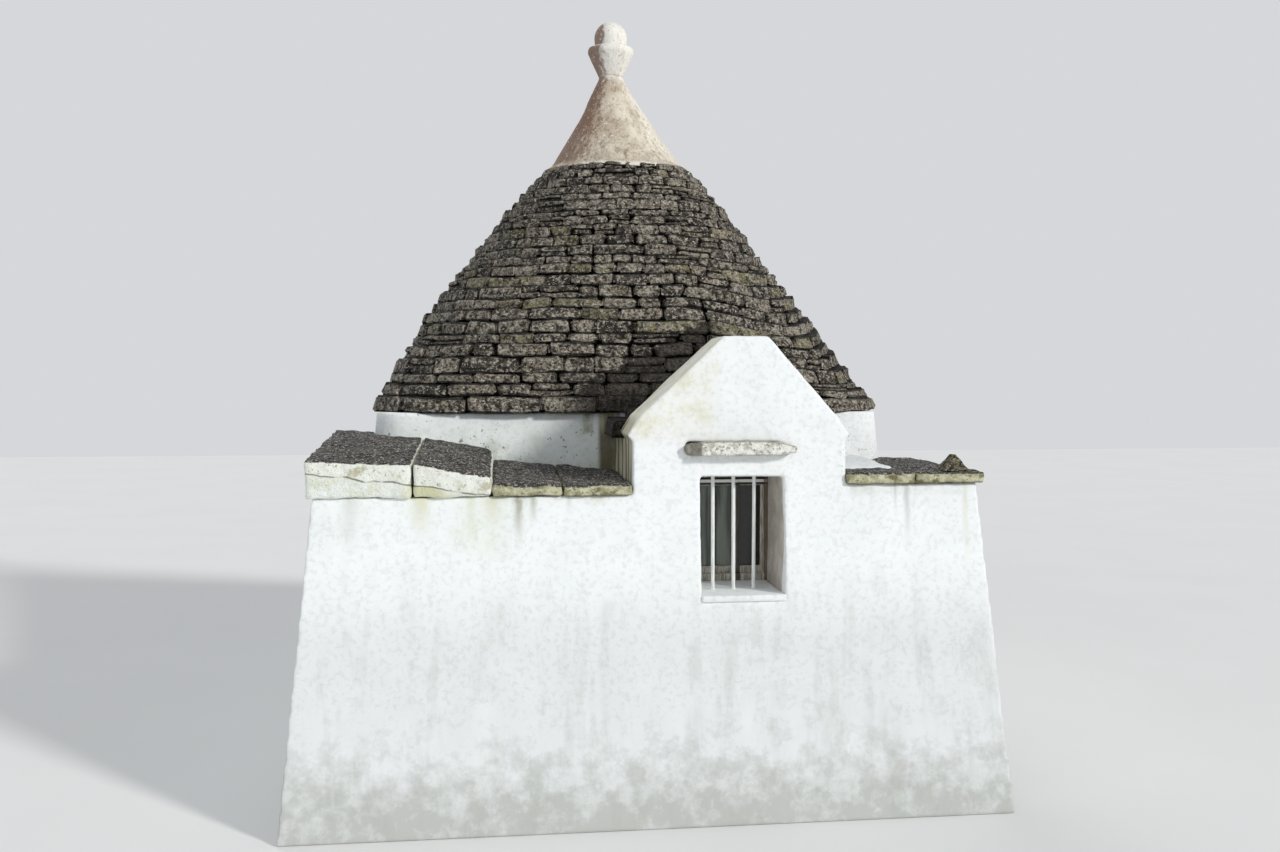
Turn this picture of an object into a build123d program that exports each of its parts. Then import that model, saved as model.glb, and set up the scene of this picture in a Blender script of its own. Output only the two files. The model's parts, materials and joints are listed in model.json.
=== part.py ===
"""A trullo house: whitewashed rubble walls, a corbelled stone cone and a gabled window bay.

The axis of the cone is x = 0, y = 0. The street front looks along -Y, +Z is up and the ground
is z = 0. Sizes are in millimetres.
"""
import os
from math import radians, tan

from build123d import *

# Low walls, measured at their top under the ledge slabs
FRONT_DEPTH = 2750
LEDGE_WIDTH = 194
LEDGE_Z = 1890
BATTER = 5.5
RIGHT_LEDGE_RISE = 48

# Room
ROOM_HALF = 1250
FLOOR_THICKNESS = 150

# Upper wall that carries the cone, measured under the eave
DRUM_HALF = 1698
DRUM_CORNER = 260
EAVE_Z = 2335

# Doorway through the back wall
DOOR_WIDTH = 800
LINTEL_HEIGHT = 160
LINTEL_BEARING = 200
THRESHOLD_OUT = 60

# Window bay
BAY_X = 500
BAY_HALF = 630
HEAD_COVER = 208
KNEELER_OUT = 30
KNEELER_RISE = 32
RAKE_FOOT_RISE = 104
RAKE_FOOT_IN = 66
GABLE_RISE = 612
GABLE_FLAT_LEFT = 86
GABLE_FLAT_RIGHT = 188
GABLE_THICKNESS = 480
BAY_ROOF_DROP = 190
BAY_EAVE_OUT = 62
BAY_COURSES = 6

# Window in the bay
WINDOW_X = 512
WINDOW_WIDTH = 498
WINDOW_SILL_Z = 1308
WINDOW_HEAD_Z = 1990
NICHE_SPLAY = 190
FRAME_SETBACK = 450
FRAME_DEPTH = 60
FRAME_RAIL = 45
FRAME_STILE = 20
LEAF_RAIL = 42
LEAF_STILE = 22
LEAF_DEPTH = 38
MEETING_SHIFT = 48
GLASS_THICKNESS = 6
LEAF_GAP = 2
SILL_THICKNESS = 40
SILL_OUT = 15

# Stone hood over the window
HOOD_WIDTH = 640
HOOD_HEIGHT = 75
HOOD_OUT = 95
HOOD_EMBED = 120
HOOD_GAP = 128
HOOD_BEVEL = 10
HOOD_POINT = 95
HOOD_POINT_RISE = 30

# Ledge slabs
SLAB_THICKNESS = 68
SLAB_OUT = 32
SLAB_JOINT = 6
LEFT_SLAB_COUNT = 2
LEFT_SLAB_END = 930
LEFT_SLAB_BACK_RISE = 80
RIGHT_SLAB_COUNT = 2
SIDE_SLAB_COUNT = 5
BACK_SLAB_COUNT = 5
TILTED_WIDTH = 440
TILTED_LOW = 120
TILTED_SLOPE = 10
TILTED_BACK_SLOPE = 5
TILTED_NOSE_RADIUS = 34
CORNER_SLOPE = 2
PYRAMID_X = 1820
PYRAMID_SETBACK = 100
PYRAMID_SIZE = 165
PYRAMID_TOP = 30
PYRAMID_HEIGHT = 95

# Cone: stepped courses that change from a rounded square to a circle
EAVE_OUT = 62
EAVE_CORNER = 600
CAP_RADIUS = 550
CONE_RISE = 1840
CONE_BULGE = 0.4
ROUND_AT = 0.6
TIER_COUNT = 4
COURSES_PER_TIER = 6
COURSE_LOW = 93
CONE_SHIFT_LOW = 22
CONE_SHIFT_HIGH = 55
SHELL_THICKNESS = 180
FULL_ROUND = 0.985

# Corbelled vault under the cone
VAULT_FOOT_IN = 60
VAULT_FOOT_CORNER = 450
VAULT_TOP_RADIUS = 230
COURSES_PER_STEP = 3
KEYSTONE_HEIGHT = 110
KEYSTONE_BEARING = 70

# Plaster cap and pinnacle
CAP_RISE = 771
NECK_RADIUS = 92
CAP_HOLLOW = 1.15
CAP_SECTIONS = 6
PINNACLE_SHIFT = 5
CUP_RISE = 232
CUP_RADIUS = 180
CUP_LIP = 46
BALL_RADIUS = 130
BALL_FOOT_RADIUS = 120
BALL_RISE = 202

# Derived sizes
EDGE = 4000
WALL_SLOPE = tan(radians(BATTER))
FRONT_Y = -FRONT_DEPTH
DRUM_FOOT_HALF = DRUM_HALF + (EAVE_Z - LEDGE_Z) * WALL_SLOPE
CORNER_LINE = DRUM_FOOT_HALF - DRUM_CORNER
WALL_HALF = DRUM_FOOT_HALF + LEDGE_WIDTH
BACK_DEPTH = DRUM_FOOT_HALF + LEDGE_WIDTH
BACK_MID = (BACK_DEPTH - FRONT_DEPTH) / 2
BAY_LEFT = BAY_X - BAY_HALF
BAY_RIGHT = BAY_X + BAY_HALF
WINDOW_LEFT = WINDOW_X - WINDOW_WIDTH / 2
WINDOW_RIGHT = WINDOW_X + WINDOW_WIDTH / 2
RIGHT_LEDGE_Z = LEDGE_Z + RIGHT_LEDGE_RISE
DOOR_HEAD_Z = LEDGE_Z - LINTEL_HEIGHT
KNEELER_Z = WINDOW_HEAD_Z + HEAD_COVER
GABLE_TOP_Z = KNEELER_Z + GABLE_RISE
GROUND_SPREAD = LEDGE_Z * WALL_SLOPE
RIDGE_Z = GABLE_TOP_Z - BAY_ROOF_DROP
HOOD_Z = WINDOW_HEAD_Z + HOOD_GAP
EAVE_HALF = DRUM_HALF + EAVE_OUT
VAULT_FOOT_HALF = ROOM_HALF - VAULT_FOOT_IN
CAP_Z = EAVE_Z + CONE_RISE
NECK_Z = CAP_Z + CAP_RISE
CUP_TOP_Z = NECK_Z + CUP_RISE
BALL_Z = CUP_TOP_Z + BALL_RISE - BALL_RADIUS
COURSE_COUNT = TIER_COUNT * COURSES_PER_TIER
SLAB_EDGE = WALL_HALF + SLAB_OUT


def front_face(height):
    """Y of the battered street front at a height."""
    return FRONT_Y - (LEDGE_Z - height) * WALL_SLOPE


FRAME_Y = front_face((WINDOW_SILL_Z + WINDOW_HEAD_Z) / 2) + FRAME_SETBACK
NICHE_Y = FRAME_Y + FRAME_DEPTH
GABLE_BACK_Y = front_face(WINDOW_HEAD_Z) + GABLE_THICKNESS


def block(x_low, x_high, y_low, y_high, z_low, z_high, mode=Mode.ADD):
    """A box between two corners."""
    with Locations(((x_low + x_high) / 2, (y_low + y_high) / 2, (z_low + z_high) / 2)):
        Box(x_high - x_low, y_high - y_low, z_high - z_low, mode=mode)


def battered_mass(top, mode=Mode.ADD):
    """The low walls' outer form with every face leaning in, from the ground to a height."""
    with BuildSketch() as plan:
        with Locations((0, BACK_MID)):
            Rectangle(2 * (WALL_HALF + GROUND_SPREAD), FRONT_DEPTH + BACK_DEPTH + 2 * GROUND_SPREAD)
    extrude(plan.sketch, amount=top, taper=BATTER, mode=mode)


def drum_mass(mode=Mode.ADD):
    """The upper wall's outer form, from the low walls' top to the eave."""
    with BuildSketch(Plane.XY.offset(LEDGE_Z)) as plan:
        RectangleRounded(2 * DRUM_FOOT_HALF, 2 * DRUM_FOOT_HALF, DRUM_CORNER)
    extrude(plan.sketch, amount=EAVE_Z - LEDGE_Z, taper=BATTER, mode=mode)


def plan_prism(points, low, high, mode=Mode.ADD):
    """A prism of a plan outline between two heights."""
    with BuildSketch(Plane.XY.offset(low)) as plan:
        with BuildLine():
            Polyline(*points, close=True)
        make_face()
    extrude(plan.sketch, amount=high - low, mode=mode)


def front_prism(points, y_front, y_back, mode=Mode.ADD):
    """A prism of an outline in x and z that runs back from one y to another."""
    with BuildSketch(Plane.XZ.offset(-y_front)) as outline:
        with BuildLine():
            Polyline(*points, close=True)
        make_face()
    extrude(outline.sketch, amount=y_front - y_back, mode=mode)


def slab_row(start, end, count, joint):
    """Low and high ends of slabs that share a length, with open joints between them."""
    pitch = (end - start) / count
    ends = []
    for index in range(count):
        low = start + index * pitch + (joint / 2 if index else 0)
        high = start + (index + 1) * pitch - (joint / 2 if index < count - 1 else 0)
        ends.append((low, high))
    return ends


def save(builder, name):
    """Labels a finished piece and writes its file."""
    builder.part.label = name
    export_step(builder.part, f"parts/{name}.step")


def course_level(index):
    """Height of the bed under a course; the courses get thinner towards the top."""
    mean = CONE_RISE / COURSE_COUNT
    thinning = 2 * (COURSE_LOW - mean) / (COURSE_COUNT - 1)
    return EAVE_Z + COURSE_LOW * index - thinning * index * (index - 1) / 2


def rise_share(height):
    """How far up the cone a height lies, from 0 at the eave to 1 under the cap."""
    return (height - EAVE_Z) / CONE_RISE


def cone_half(height):
    """Half width of the cone at a height, a gentle bell curve from eave to cap."""
    rise = rise_share(height)
    drop = EAVE_HALF - CAP_RADIUS
    return EAVE_HALF - drop * ((1 - CONE_BULGE) * rise + CONE_BULGE * rise**2)


def roundness(foot_share, height):
    """Corner radius as a share of the half width, growing from the eave to a near circle."""
    return min(FULL_ROUND, foot_share + (FULL_ROUND - foot_share) * rise_share(height) / ROUND_AT)


def cone_shift(height):
    """The cone leans: how far its middle lies right of the room's middle at a height."""
    return CONE_SHIFT_LOW + (CONE_SHIFT_HIGH - CONE_SHIFT_LOW) * rise_share(height)


def course_mass(index, inset=0, mode=Mode.ADD):
    """One whole course of the cone, solid through, or its form some way inside the face."""
    low = course_level(index)
    half = cone_half(low)
    corner = half * roundness(EAVE_CORNER / EAVE_HALF, low)
    with BuildSketch(Plane.XY.offset(low)) as plan:
        with Locations((cone_shift(low), 0)):
            RectangleRounded(2 * (half - inset), 2 * (half - inset), corner - inset)
    extrude(plan.sketch, amount=course_level(index + 1) - low, mode=mode)


def vault_half(height):
    """Half width of the hollow under the cone at a height."""
    foot = EAVE_HALF - VAULT_FOOT_HALF
    top = CAP_RADIUS - VAULT_TOP_RADIUS
    return cone_half(height) - foot - (top - foot) * rise_share(height)


def vault_step(index, mode=Mode.SUBTRACT):
    """The hollow inside one corbelled step of the vault."""
    low = course_level(index * COURSES_PER_STEP)
    high = course_level((index + 1) * COURSES_PER_STEP)
    half = vault_half(high)
    corner = half * roundness(VAULT_FOOT_CORNER / VAULT_FOOT_HALF, high)
    with BuildSketch(Plane.XY.offset(low)) as plan:
        with Locations((cone_shift(high), 0)):
            RectangleRounded(2 * half, 2 * half, corner)
    extrude(plan.sketch, amount=high - low, mode=mode)


os.makedirs("parts", exist_ok=True)

# Low walls
with BuildPart() as front_wall_left:
    battered_mass(LEDGE_Z)
    block(-EDGE, BAY_LEFT, -EDGE, -ROOM_HALF, 0, LEDGE_Z, Mode.INTERSECT)
save(front_wall_left, "front_wall_left")

with BuildPart() as front_wall_right:
    battered_mass(RIGHT_LEDGE_Z)
    block(BAY_RIGHT, EDGE, -EDGE, -ROOM_HALF, 0, RIGHT_LEDGE_Z, Mode.INTERSECT)
    block(0, EDGE, -CORNER_LINE, 0, LEDGE_Z, EDGE, Mode.SUBTRACT)
    drum_mass(Mode.SUBTRACT)
save(front_wall_right, "front_wall_right")

for name, x_low, x_high in (("left", -EDGE, -ROOM_HALF), ("right", ROOM_HALF, EDGE)):
    with BuildPart() as side_wall:
        battered_mass(LEDGE_Z)
        block(x_low, x_high, -ROOM_HALF, ROOM_HALF, 0, LEDGE_Z, Mode.INTERSECT)
    save(side_wall, f"{name}_side_wall")

LINTEL_HALF = DOOR_WIDTH / 2 + LINTEL_BEARING
for name, x_low, x_high in (("left", -EDGE, -DOOR_WIDTH / 2), ("right", DOOR_WIDTH / 2, EDGE)):
    with BuildPart() as back_wall:
        battered_mass(LEDGE_Z)
        block(x_low, x_high, ROOM_HALF, EDGE, 0, LEDGE_Z, Mode.INTERSECT)
        block(-LINTEL_HALF, LINTEL_HALF, ROOM_HALF, EDGE, DOOR_HEAD_Z, LEDGE_Z, Mode.SUBTRACT)
    save(back_wall, f"back_wall_{name}")

with BuildPart() as door_lintel:
    battered_mass(LEDGE_Z)
    block(-LINTEL_HALF, LINTEL_HALF, ROOM_HALF, EDGE, DOOR_HEAD_Z, LEDGE_Z, Mode.INTERSECT)
save(door_lintel, "door_lintel")

with BuildPart() as door_threshold:
    step_y = BACK_DEPTH + GROUND_SPREAD + THRESHOLD_OUT
    block(-DOOR_WIDTH / 2, DOOR_WIDTH / 2, ROOM_HALF, step_y, 0, FLOOR_THICKNESS)
save(door_threshold, "door_threshold")

NICHE_PLAN = [
    (WINDOW_LEFT, NICHE_Y),
    (WINDOW_RIGHT, NICHE_Y),
    (WINDOW_RIGHT + NICHE_SPLAY, -ROOM_HALF),
    (WINDOW_LEFT - NICHE_SPLAY, -ROOM_HALF),
]
with BuildPart() as room_floor:
    block(-ROOM_HALF, ROOM_HALF, -ROOM_HALF, ROOM_HALF, 0, FLOOR_THICKNESS)
    plan_prism(NICHE_PLAN, 0, FLOOR_THICKNESS)
save(room_floor, "room_floor")

# Window bay, with a niche that widens towards the room
for name, outer, jamb, splay in (
    ("left", BAY_LEFT, WINDOW_LEFT, -NICHE_SPLAY),
    ("right", BAY_RIGHT, WINDOW_RIGHT, NICHE_SPLAY),
):
    pier_plan = [
        (outer, -EDGE),
        (jamb, -EDGE),
        (jamb, NICHE_Y),
        (jamb + splay, -ROOM_HALF),
        (outer, -ROOM_HALF),
    ]
    with BuildPart() as bay_pier:
        battered_mass(WINDOW_HEAD_Z)
        plan_prism(pier_plan, 0, WINDOW_HEAD_Z, Mode.INTERSECT)
    save(bay_pier, f"bay_pier_{name}")

BREAST_TOP_Z = WINDOW_SILL_Z - SILL_THICKNESS
with BuildPart() as window_breast_wall:
    battered_mass(BREAST_TOP_Z)
    block(WINDOW_LEFT, WINDOW_RIGHT, -EDGE, NICHE_Y, 0, BREAST_TOP_Z, Mode.INTERSECT)
save(window_breast_wall, "window_breast_wall")

with BuildPart() as bay_ceiling:
    battered_mass(KNEELER_Z)
    block(BAY_LEFT, BAY_RIGHT, GABLE_BACK_Y, -ROOM_HALF, WINDOW_HEAD_Z, KNEELER_Z, Mode.INTERSECT)
    drum_mass(Mode.SUBTRACT)
save(bay_ceiling, "bay_ceiling")

with BuildPart() as bay_lintel:
    drum_mass()
    block(BAY_LEFT, BAY_RIGHT, -EDGE, -ROOM_HALF, WINDOW_HEAD_Z, EAVE_Z, Mode.INTERSECT)
save(bay_lintel, "bay_lintel")

KNEELER_TIP_Z = KNEELER_Z + KNEELER_RISE
RAKE_FOOT_Z = KNEELER_TIP_Z + RAKE_FOOT_RISE
GABLE_OUTLINE = [
    (BAY_LEFT, WINDOW_HEAD_Z),
    (BAY_LEFT, KNEELER_Z),
    (BAY_LEFT - KNEELER_OUT, KNEELER_TIP_Z),
    (BAY_LEFT - KNEELER_OUT + RAKE_FOOT_IN, RAKE_FOOT_Z),
    (BAY_X - GABLE_FLAT_LEFT, GABLE_TOP_Z),
    (BAY_X + GABLE_FLAT_RIGHT, GABLE_TOP_Z),
    (BAY_RIGHT + KNEELER_OUT - RAKE_FOOT_IN, RAKE_FOOT_Z),
    (BAY_RIGHT + KNEELER_OUT, KNEELER_TIP_Z),
    (BAY_RIGHT, KNEELER_Z),
    (BAY_RIGHT, WINDOW_HEAD_Z),
]


HOOD_LEFT = BAY_X - HOOD_WIDTH / 2
HOOD_RIGHT = BAY_X + HOOD_WIDTH / 2
HOOD_TOP_Z = HOOD_Z + HOOD_HEIGHT
HOOD_OUTLINE = [
    (HOOD_LEFT, HOOD_Z),
    (HOOD_LEFT, HOOD_TOP_Z - HOOD_BEVEL),
    (HOOD_LEFT + HOOD_BEVEL, HOOD_TOP_Z),
    (HOOD_RIGHT - HOOD_POINT, HOOD_TOP_Z),
    (HOOD_RIGHT, HOOD_Z + HOOD_POINT_RISE),
    (HOOD_RIGHT - HOOD_POINT / 2, HOOD_Z),
]


def hood_mass(mode=Mode.ADD):
    """The stone slab with a pointed end that keeps rain off the window, bedded in the gable."""
    face = front_face(HOOD_Z + HOOD_HEIGHT / 2)
    front_prism(HOOD_OUTLINE, face - HOOD_OUT, face + HOOD_EMBED, mode)


with BuildPart() as gable_front:
    battered_mass(GABLE_TOP_Z)
    front_prism(GABLE_OUTLINE, -EDGE, GABLE_BACK_Y, Mode.INTERSECT)
    hood_mass(Mode.SUBTRACT)
save(gable_front, "gable_front")

with BuildPart() as hood_slab:
    hood_mass()
save(hood_slab, "hood_slab")

# Small stepped saddle roof behind the gable, cut where it runs into the upper wall and the cone
VALLEY_COURSES = [index for index in range(COURSE_COUNT) if course_level(index) < RIDGE_Z]
for name, eave_x in (("left", BAY_LEFT - BAY_EAVE_OUT), ("right", BAY_RIGHT + BAY_EAVE_OUT)):
    slope_outline = [(BAY_X, RIDGE_Z), (BAY_X, KNEELER_Z), (eave_x, KNEELER_Z)]
    for course in range(BAY_COURSES):
        course_x = eave_x + (BAY_X - eave_x) * course / BAY_COURSES
        course_top = KNEELER_Z + (RIDGE_Z - KNEELER_Z) * (course + 1) / BAY_COURSES
        if course:
            slope_outline.append((course_x, slope_outline[-1][1]))
        slope_outline.append((course_x, course_top))
    with BuildPart() as bay_roof:
        front_prism(slope_outline, GABLE_BACK_Y, -ROOM_HALF)
        drum_mass(Mode.SUBTRACT)
        for index in VALLEY_COURSES:
            course_mass(index, mode=Mode.SUBTRACT)
    save(bay_roof, f"bay_roof_{name}")

# Window: frame, two glazed leaves and the sill
with BuildPart() as window_frame:
    block(WINDOW_LEFT, WINDOW_RIGHT, FRAME_Y, NICHE_Y, WINDOW_SILL_Z, WINDOW_HEAD_Z)
    block(
        WINDOW_LEFT + FRAME_STILE, WINDOW_RIGHT - FRAME_STILE, FRAME_Y, NICHE_Y,
        WINDOW_SILL_Z + FRAME_RAIL, WINDOW_HEAD_Z - FRAME_RAIL, Mode.SUBTRACT,
    )
save(window_frame, "window_frame")

LEAF_Y = FRAME_Y + (FRAME_DEPTH - LEAF_DEPTH) / 2
GLASS_Y = LEAF_Y + (LEAF_DEPTH - GLASS_THICKNESS) / 2
LEAF_LOW = WINDOW_SILL_Z + FRAME_RAIL
LEAF_HIGH = WINDOW_HEAD_Z - FRAME_RAIL
MEETING_X = WINDOW_X + MEETING_SHIFT
LEAF_ENDS = (
    ("left", WINDOW_LEFT + FRAME_STILE, MEETING_X - LEAF_GAP / 2),
    ("right", MEETING_X + LEAF_GAP / 2, WINDOW_RIGHT - FRAME_STILE),
)
for name, x_low, x_high in LEAF_ENDS:
    with BuildPart() as window_leaf:
        block(x_low, x_high, LEAF_Y, LEAF_Y + LEAF_DEPTH, LEAF_LOW, LEAF_HIGH)
        block(
            x_low + LEAF_STILE, x_high - LEAF_STILE, LEAF_Y, LEAF_Y + LEAF_DEPTH,
            LEAF_LOW + LEAF_RAIL, LEAF_HIGH - LEAF_RAIL, Mode.SUBTRACT,
        )
    save(window_leaf, f"window_leaf_{name}")

with BuildPart() as window_glass:
    for name, x_low, x_high in LEAF_ENDS:
        block(
            x_low + LEAF_STILE, x_high - LEAF_STILE, GLASS_Y, GLASS_Y + GLASS_THICKNESS,
            LEAF_LOW + LEAF_RAIL, LEAF_HIGH - LEAF_RAIL,
        )
save(window_glass, "window_glass")

with BuildPart() as window_sill:
    sill_y = front_face(WINDOW_SILL_Z) - SILL_OUT
    block(WINDOW_LEFT, WINDOW_RIGHT, sill_y, NICHE_Y, BREAST_TOP_Z, WINDOW_SILL_Z)
save(window_sill, "window_sill")

# Upper wall, in straight stretches round the room
DRUM_STRETCHES = {
    "front_left": (-EDGE, BAY_LEFT, -EDGE, -ROOM_HALF),
    "front_right": (BAY_RIGHT, EDGE, -EDGE, -ROOM_HALF),
    "left": (-EDGE, -ROOM_HALF, -ROOM_HALF, ROOM_HALF),
    "right": (ROOM_HALF, EDGE, -ROOM_HALF, ROOM_HALF),
    "back": (-EDGE, EDGE, ROOM_HALF, EDGE),
}
for name, (x_low, x_high, y_low, y_high) in DRUM_STRETCHES.items():
    with BuildPart() as upper_wall:
        drum_mass()
        block(x_low, x_high, y_low, y_high, LEDGE_Z, EAVE_Z, Mode.INTERSECT)
    save(upper_wall, f"upper_wall_{name}")

# Ledge slabs on the low walls, fitted round the foot of the upper wall
FRONT_EDGE_Y = FRONT_Y - SLAB_OUT


def left_ledge_mass(mode=Mode.INTERSECT):
    """The left ledge's form: level along its front edge, rising to the left at its back."""
    top = LEDGE_Z + SLAB_THICKNESS
    ends = []
    for x, rise in ((-LEFT_SLAB_END, LEFT_SLAB_BACK_RISE), (BAY_LEFT, 0)):
        with BuildSketch(Plane.YZ.offset(x)) as end:
            with BuildLine():
                Polyline(
                    (FRONT_EDGE_Y, LEDGE_Z), (FRONT_EDGE_Y, top),
                    (-DRUM_HALF, top + rise), (-DRUM_HALF, LEDGE_Z), close=True,
                )
            make_face()
        ends.append(end.sketch.face())
    loft(ends, ruled=True, mode=mode)


with BuildPart() as ledge_slabs_left:
    for x_low, x_high in slab_row(-LEFT_SLAB_END, BAY_LEFT, LEFT_SLAB_COUNT, SLAB_JOINT):
        block(x_low, x_high, FRONT_EDGE_Y, -CORNER_LINE, LEDGE_Z, EAVE_Z)
    left_ledge_mass()
    drum_mass(Mode.SUBTRACT)
save(ledge_slabs_left, "ledge_slabs_left")

with BuildPart() as ledge_slabs_right:
    for x_low, x_high in slab_row(BAY_RIGHT, SLAB_EDGE, RIGHT_SLAB_COUNT, SLAB_JOINT):
        block(
            x_low, x_high, FRONT_EDGE_Y, -CORNER_LINE,
            RIGHT_LEDGE_Z, RIGHT_LEDGE_Z + SLAB_THICKNESS,
        )
    drum_mass(Mode.SUBTRACT)
save(ledge_slabs_right, "ledge_slabs_right")


def sloped_slab(x_low, x_high, thickness, slope):
    """A thick slab with a level bed whose top rises to the left and to the back."""
    top = Plane(
        origin=(x_high, FRONT_EDGE_Y, LEDGE_Z + thickness),
        z_dir=(tan(radians(slope)), -tan(radians(TILTED_BACK_SLOPE)), 1),
    )
    block(x_low, x_high, FRONT_EDGE_Y, -CORNER_LINE, LEDGE_Z, EAVE_Z)
    drum_mass(Mode.SUBTRACT)
    split(bisect_by=top, keep=Keep.BOTTOM)


TILTED_X = -LEFT_SLAB_END - SLAB_JOINT
CORNER_X = TILTED_X - TILTED_WIDTH - SLAB_JOINT
with BuildPart() as ledge_slab_tilted:
    sloped_slab(TILTED_X - TILTED_WIDTH, TILTED_X, TILTED_LOW, TILTED_SLOPE)
    low_end = ledge_slab_tilted.faces().sort_by(Axis.X)[-1]
    fillet(low_end.edges().sort_by(Axis.Z)[-1], TILTED_NOSE_RADIUS)
save(ledge_slab_tilted, "ledge_slab_tilted")

with BuildPart() as ledge_slab_corner:
    tilted_high = TILTED_LOW + TILTED_WIDTH * tan(radians(TILTED_SLOPE))
    sloped_slab(-SLAB_EDGE, CORNER_X, tilted_high, CORNER_SLOPE)
save(ledge_slab_corner, "ledge_slab_corner")

with BuildPart() as ledge_slabs_sides:
    for y_low, y_high in slab_row(-CORNER_LINE, CORNER_LINE, SIDE_SLAB_COUNT, SLAB_JOINT):
        for x_low, x_high in ((-SLAB_EDGE, -CORNER_LINE), (CORNER_LINE, SLAB_EDGE)):
            block(x_low, x_high, y_low, y_high, LEDGE_Z, LEDGE_Z + SLAB_THICKNESS)
    drum_mass(Mode.SUBTRACT)
save(ledge_slabs_sides, "ledge_slabs_sides")

with BuildPart() as ledge_slabs_back:
    for x_low, x_high in slab_row(-SLAB_EDGE, SLAB_EDGE, BACK_SLAB_COUNT, SLAB_JOINT):
        block(
            x_low, x_high, CORNER_LINE, BACK_DEPTH + SLAB_OUT,
            LEDGE_Z, LEDGE_Z + SLAB_THICKNESS,
        )
    drum_mass(Mode.SUBTRACT)
save(ledge_slabs_back, "ledge_slabs_back")

with BuildPart() as pyramid_stone:
    pyramid_base = RIGHT_LEDGE_Z + SLAB_THICKNESS
    pyramid_y = FRONT_Y + PYRAMID_SETBACK
    for size, height in ((PYRAMID_SIZE, 0), (PYRAMID_TOP, PYRAMID_HEIGHT)):
        with BuildSketch(Plane.XY.offset(pyramid_base + height)):
            with Locations((PYRAMID_X, pyramid_y)):
                Rectangle(size, size)
    loft(ruled=True)
save(pyramid_stone, "pyramid_stone")

# Cone: an outer shell of stepped courses over the corbelled vault
KEYSTONE_RADIUS = VAULT_TOP_RADIUS + KEYSTONE_BEARING


def keystone_mass(mode=Mode.ADD):
    """The round slab that closes the vault."""
    with Locations((CONE_SHIFT_HIGH, 0, CAP_Z - KEYSTONE_HEIGHT)):
        Cylinder(
            KEYSTONE_RADIUS, KEYSTONE_HEIGHT, mode=mode,
            align=(Align.CENTER, Align.CENTER, Align.MIN),
        )


for tier in range(TIER_COUNT):
    courses = range(tier * COURSES_PER_TIER, (tier + 1) * COURSES_PER_TIER)
    with BuildPart() as roof_tier:
        for index in courses:
            course_mass(index)
        for index in courses:
            course_mass(index, SHELL_THICKNESS, Mode.SUBTRACT)
    save(roof_tier, f"roof_tier_{tier + 1}")

    with BuildPart() as vault_ring:
        for index in courses:
            course_mass(index, SHELL_THICKNESS)
        for index in courses:
            if index % COURSES_PER_STEP == 0:
                vault_step(index // COURSES_PER_STEP)
        if tier == TIER_COUNT - 1:
            keystone_mass(Mode.SUBTRACT)
    save(vault_ring, f"vault_ring_{tier + 1}")

with BuildPart() as vault_keystone:
    keystone_mass()
save(vault_keystone, "vault_keystone")

# Plaster cap, a hollow-sided cone that leans a little, and the pinnacle on it
with BuildPart() as plaster_cap:
    for index in range(CAP_SECTIONS):
        share = index / (CAP_SECTIONS - 1)
        radius = NECK_RADIUS + (CAP_RADIUS - NECK_RADIUS) * (1 - share) ** CAP_HOLLOW
        shift = CONE_SHIFT_HIGH + (PINNACLE_SHIFT - CONE_SHIFT_HIGH) * share
        with BuildSketch(Plane.XY.offset(CAP_Z + CAP_RISE * share)):
            with Locations((shift, 0)):
                Circle(radius)
    loft(ruled=True)
save(plaster_cap, "plaster_cap")

with BuildPart() as pinnacle_cup:
    with BuildSketch(Plane.XZ.shift_origin((PINNACLE_SHIFT, 0, 0))):
        with BuildLine():
            foot = Line((0, NECK_Z), (NECK_RADIUS, NECK_Z))
            side = Line(foot @ 1, (CUP_RADIUS, CUP_TOP_Z - CUP_LIP))
            lip = RadiusArc(side @ 1, (CUP_RADIUS - CUP_LIP, CUP_TOP_Z), -CUP_LIP)
            Polyline(lip @ 1, (0, CUP_TOP_Z), foot @ 0)
        make_face()
    revolve(axis=Axis((PINNACLE_SHIFT, 0, 0), (0, 0, 1)))
save(pinnacle_cup, "pinnacle_cup")

with BuildPart() as pinnacle_ball:
    with BuildSketch(Plane.XZ.shift_origin((PINNACLE_SHIFT, 0, 0))):
        with BuildLine():
            foot = Line((0, CUP_TOP_Z), (BALL_FOOT_RADIUS, CUP_TOP_Z))
            side = Line(foot @ 1, (BALL_RADIUS, BALL_Z))
            dome = RadiusArc(side @ 1, (0, BALL_Z + BALL_RADIUS), -BALL_RADIUS)
            Line(dome @ 1, foot @ 0)
        make_face()
    revolve(axis=Axis((PINNACLE_SHIFT, 0, 0), (0, 0, 1)))
save(pinnacle_ball, "pinnacle_ball")
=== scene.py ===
"""Looks of the trullo house: dry stone cone, whitewashed walls, gabled window bay and pinnacle.

Lengths are in metres. The axis of the cone is x = 0, y = 0, the street front looks along -Y and
the ground is z = 0.
"""
from __future__ import annotations

import json
import logging
import math
from dataclasses import dataclass, field
from enum import Enum
from typing import Callable, Iterable, Sequence

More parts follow.
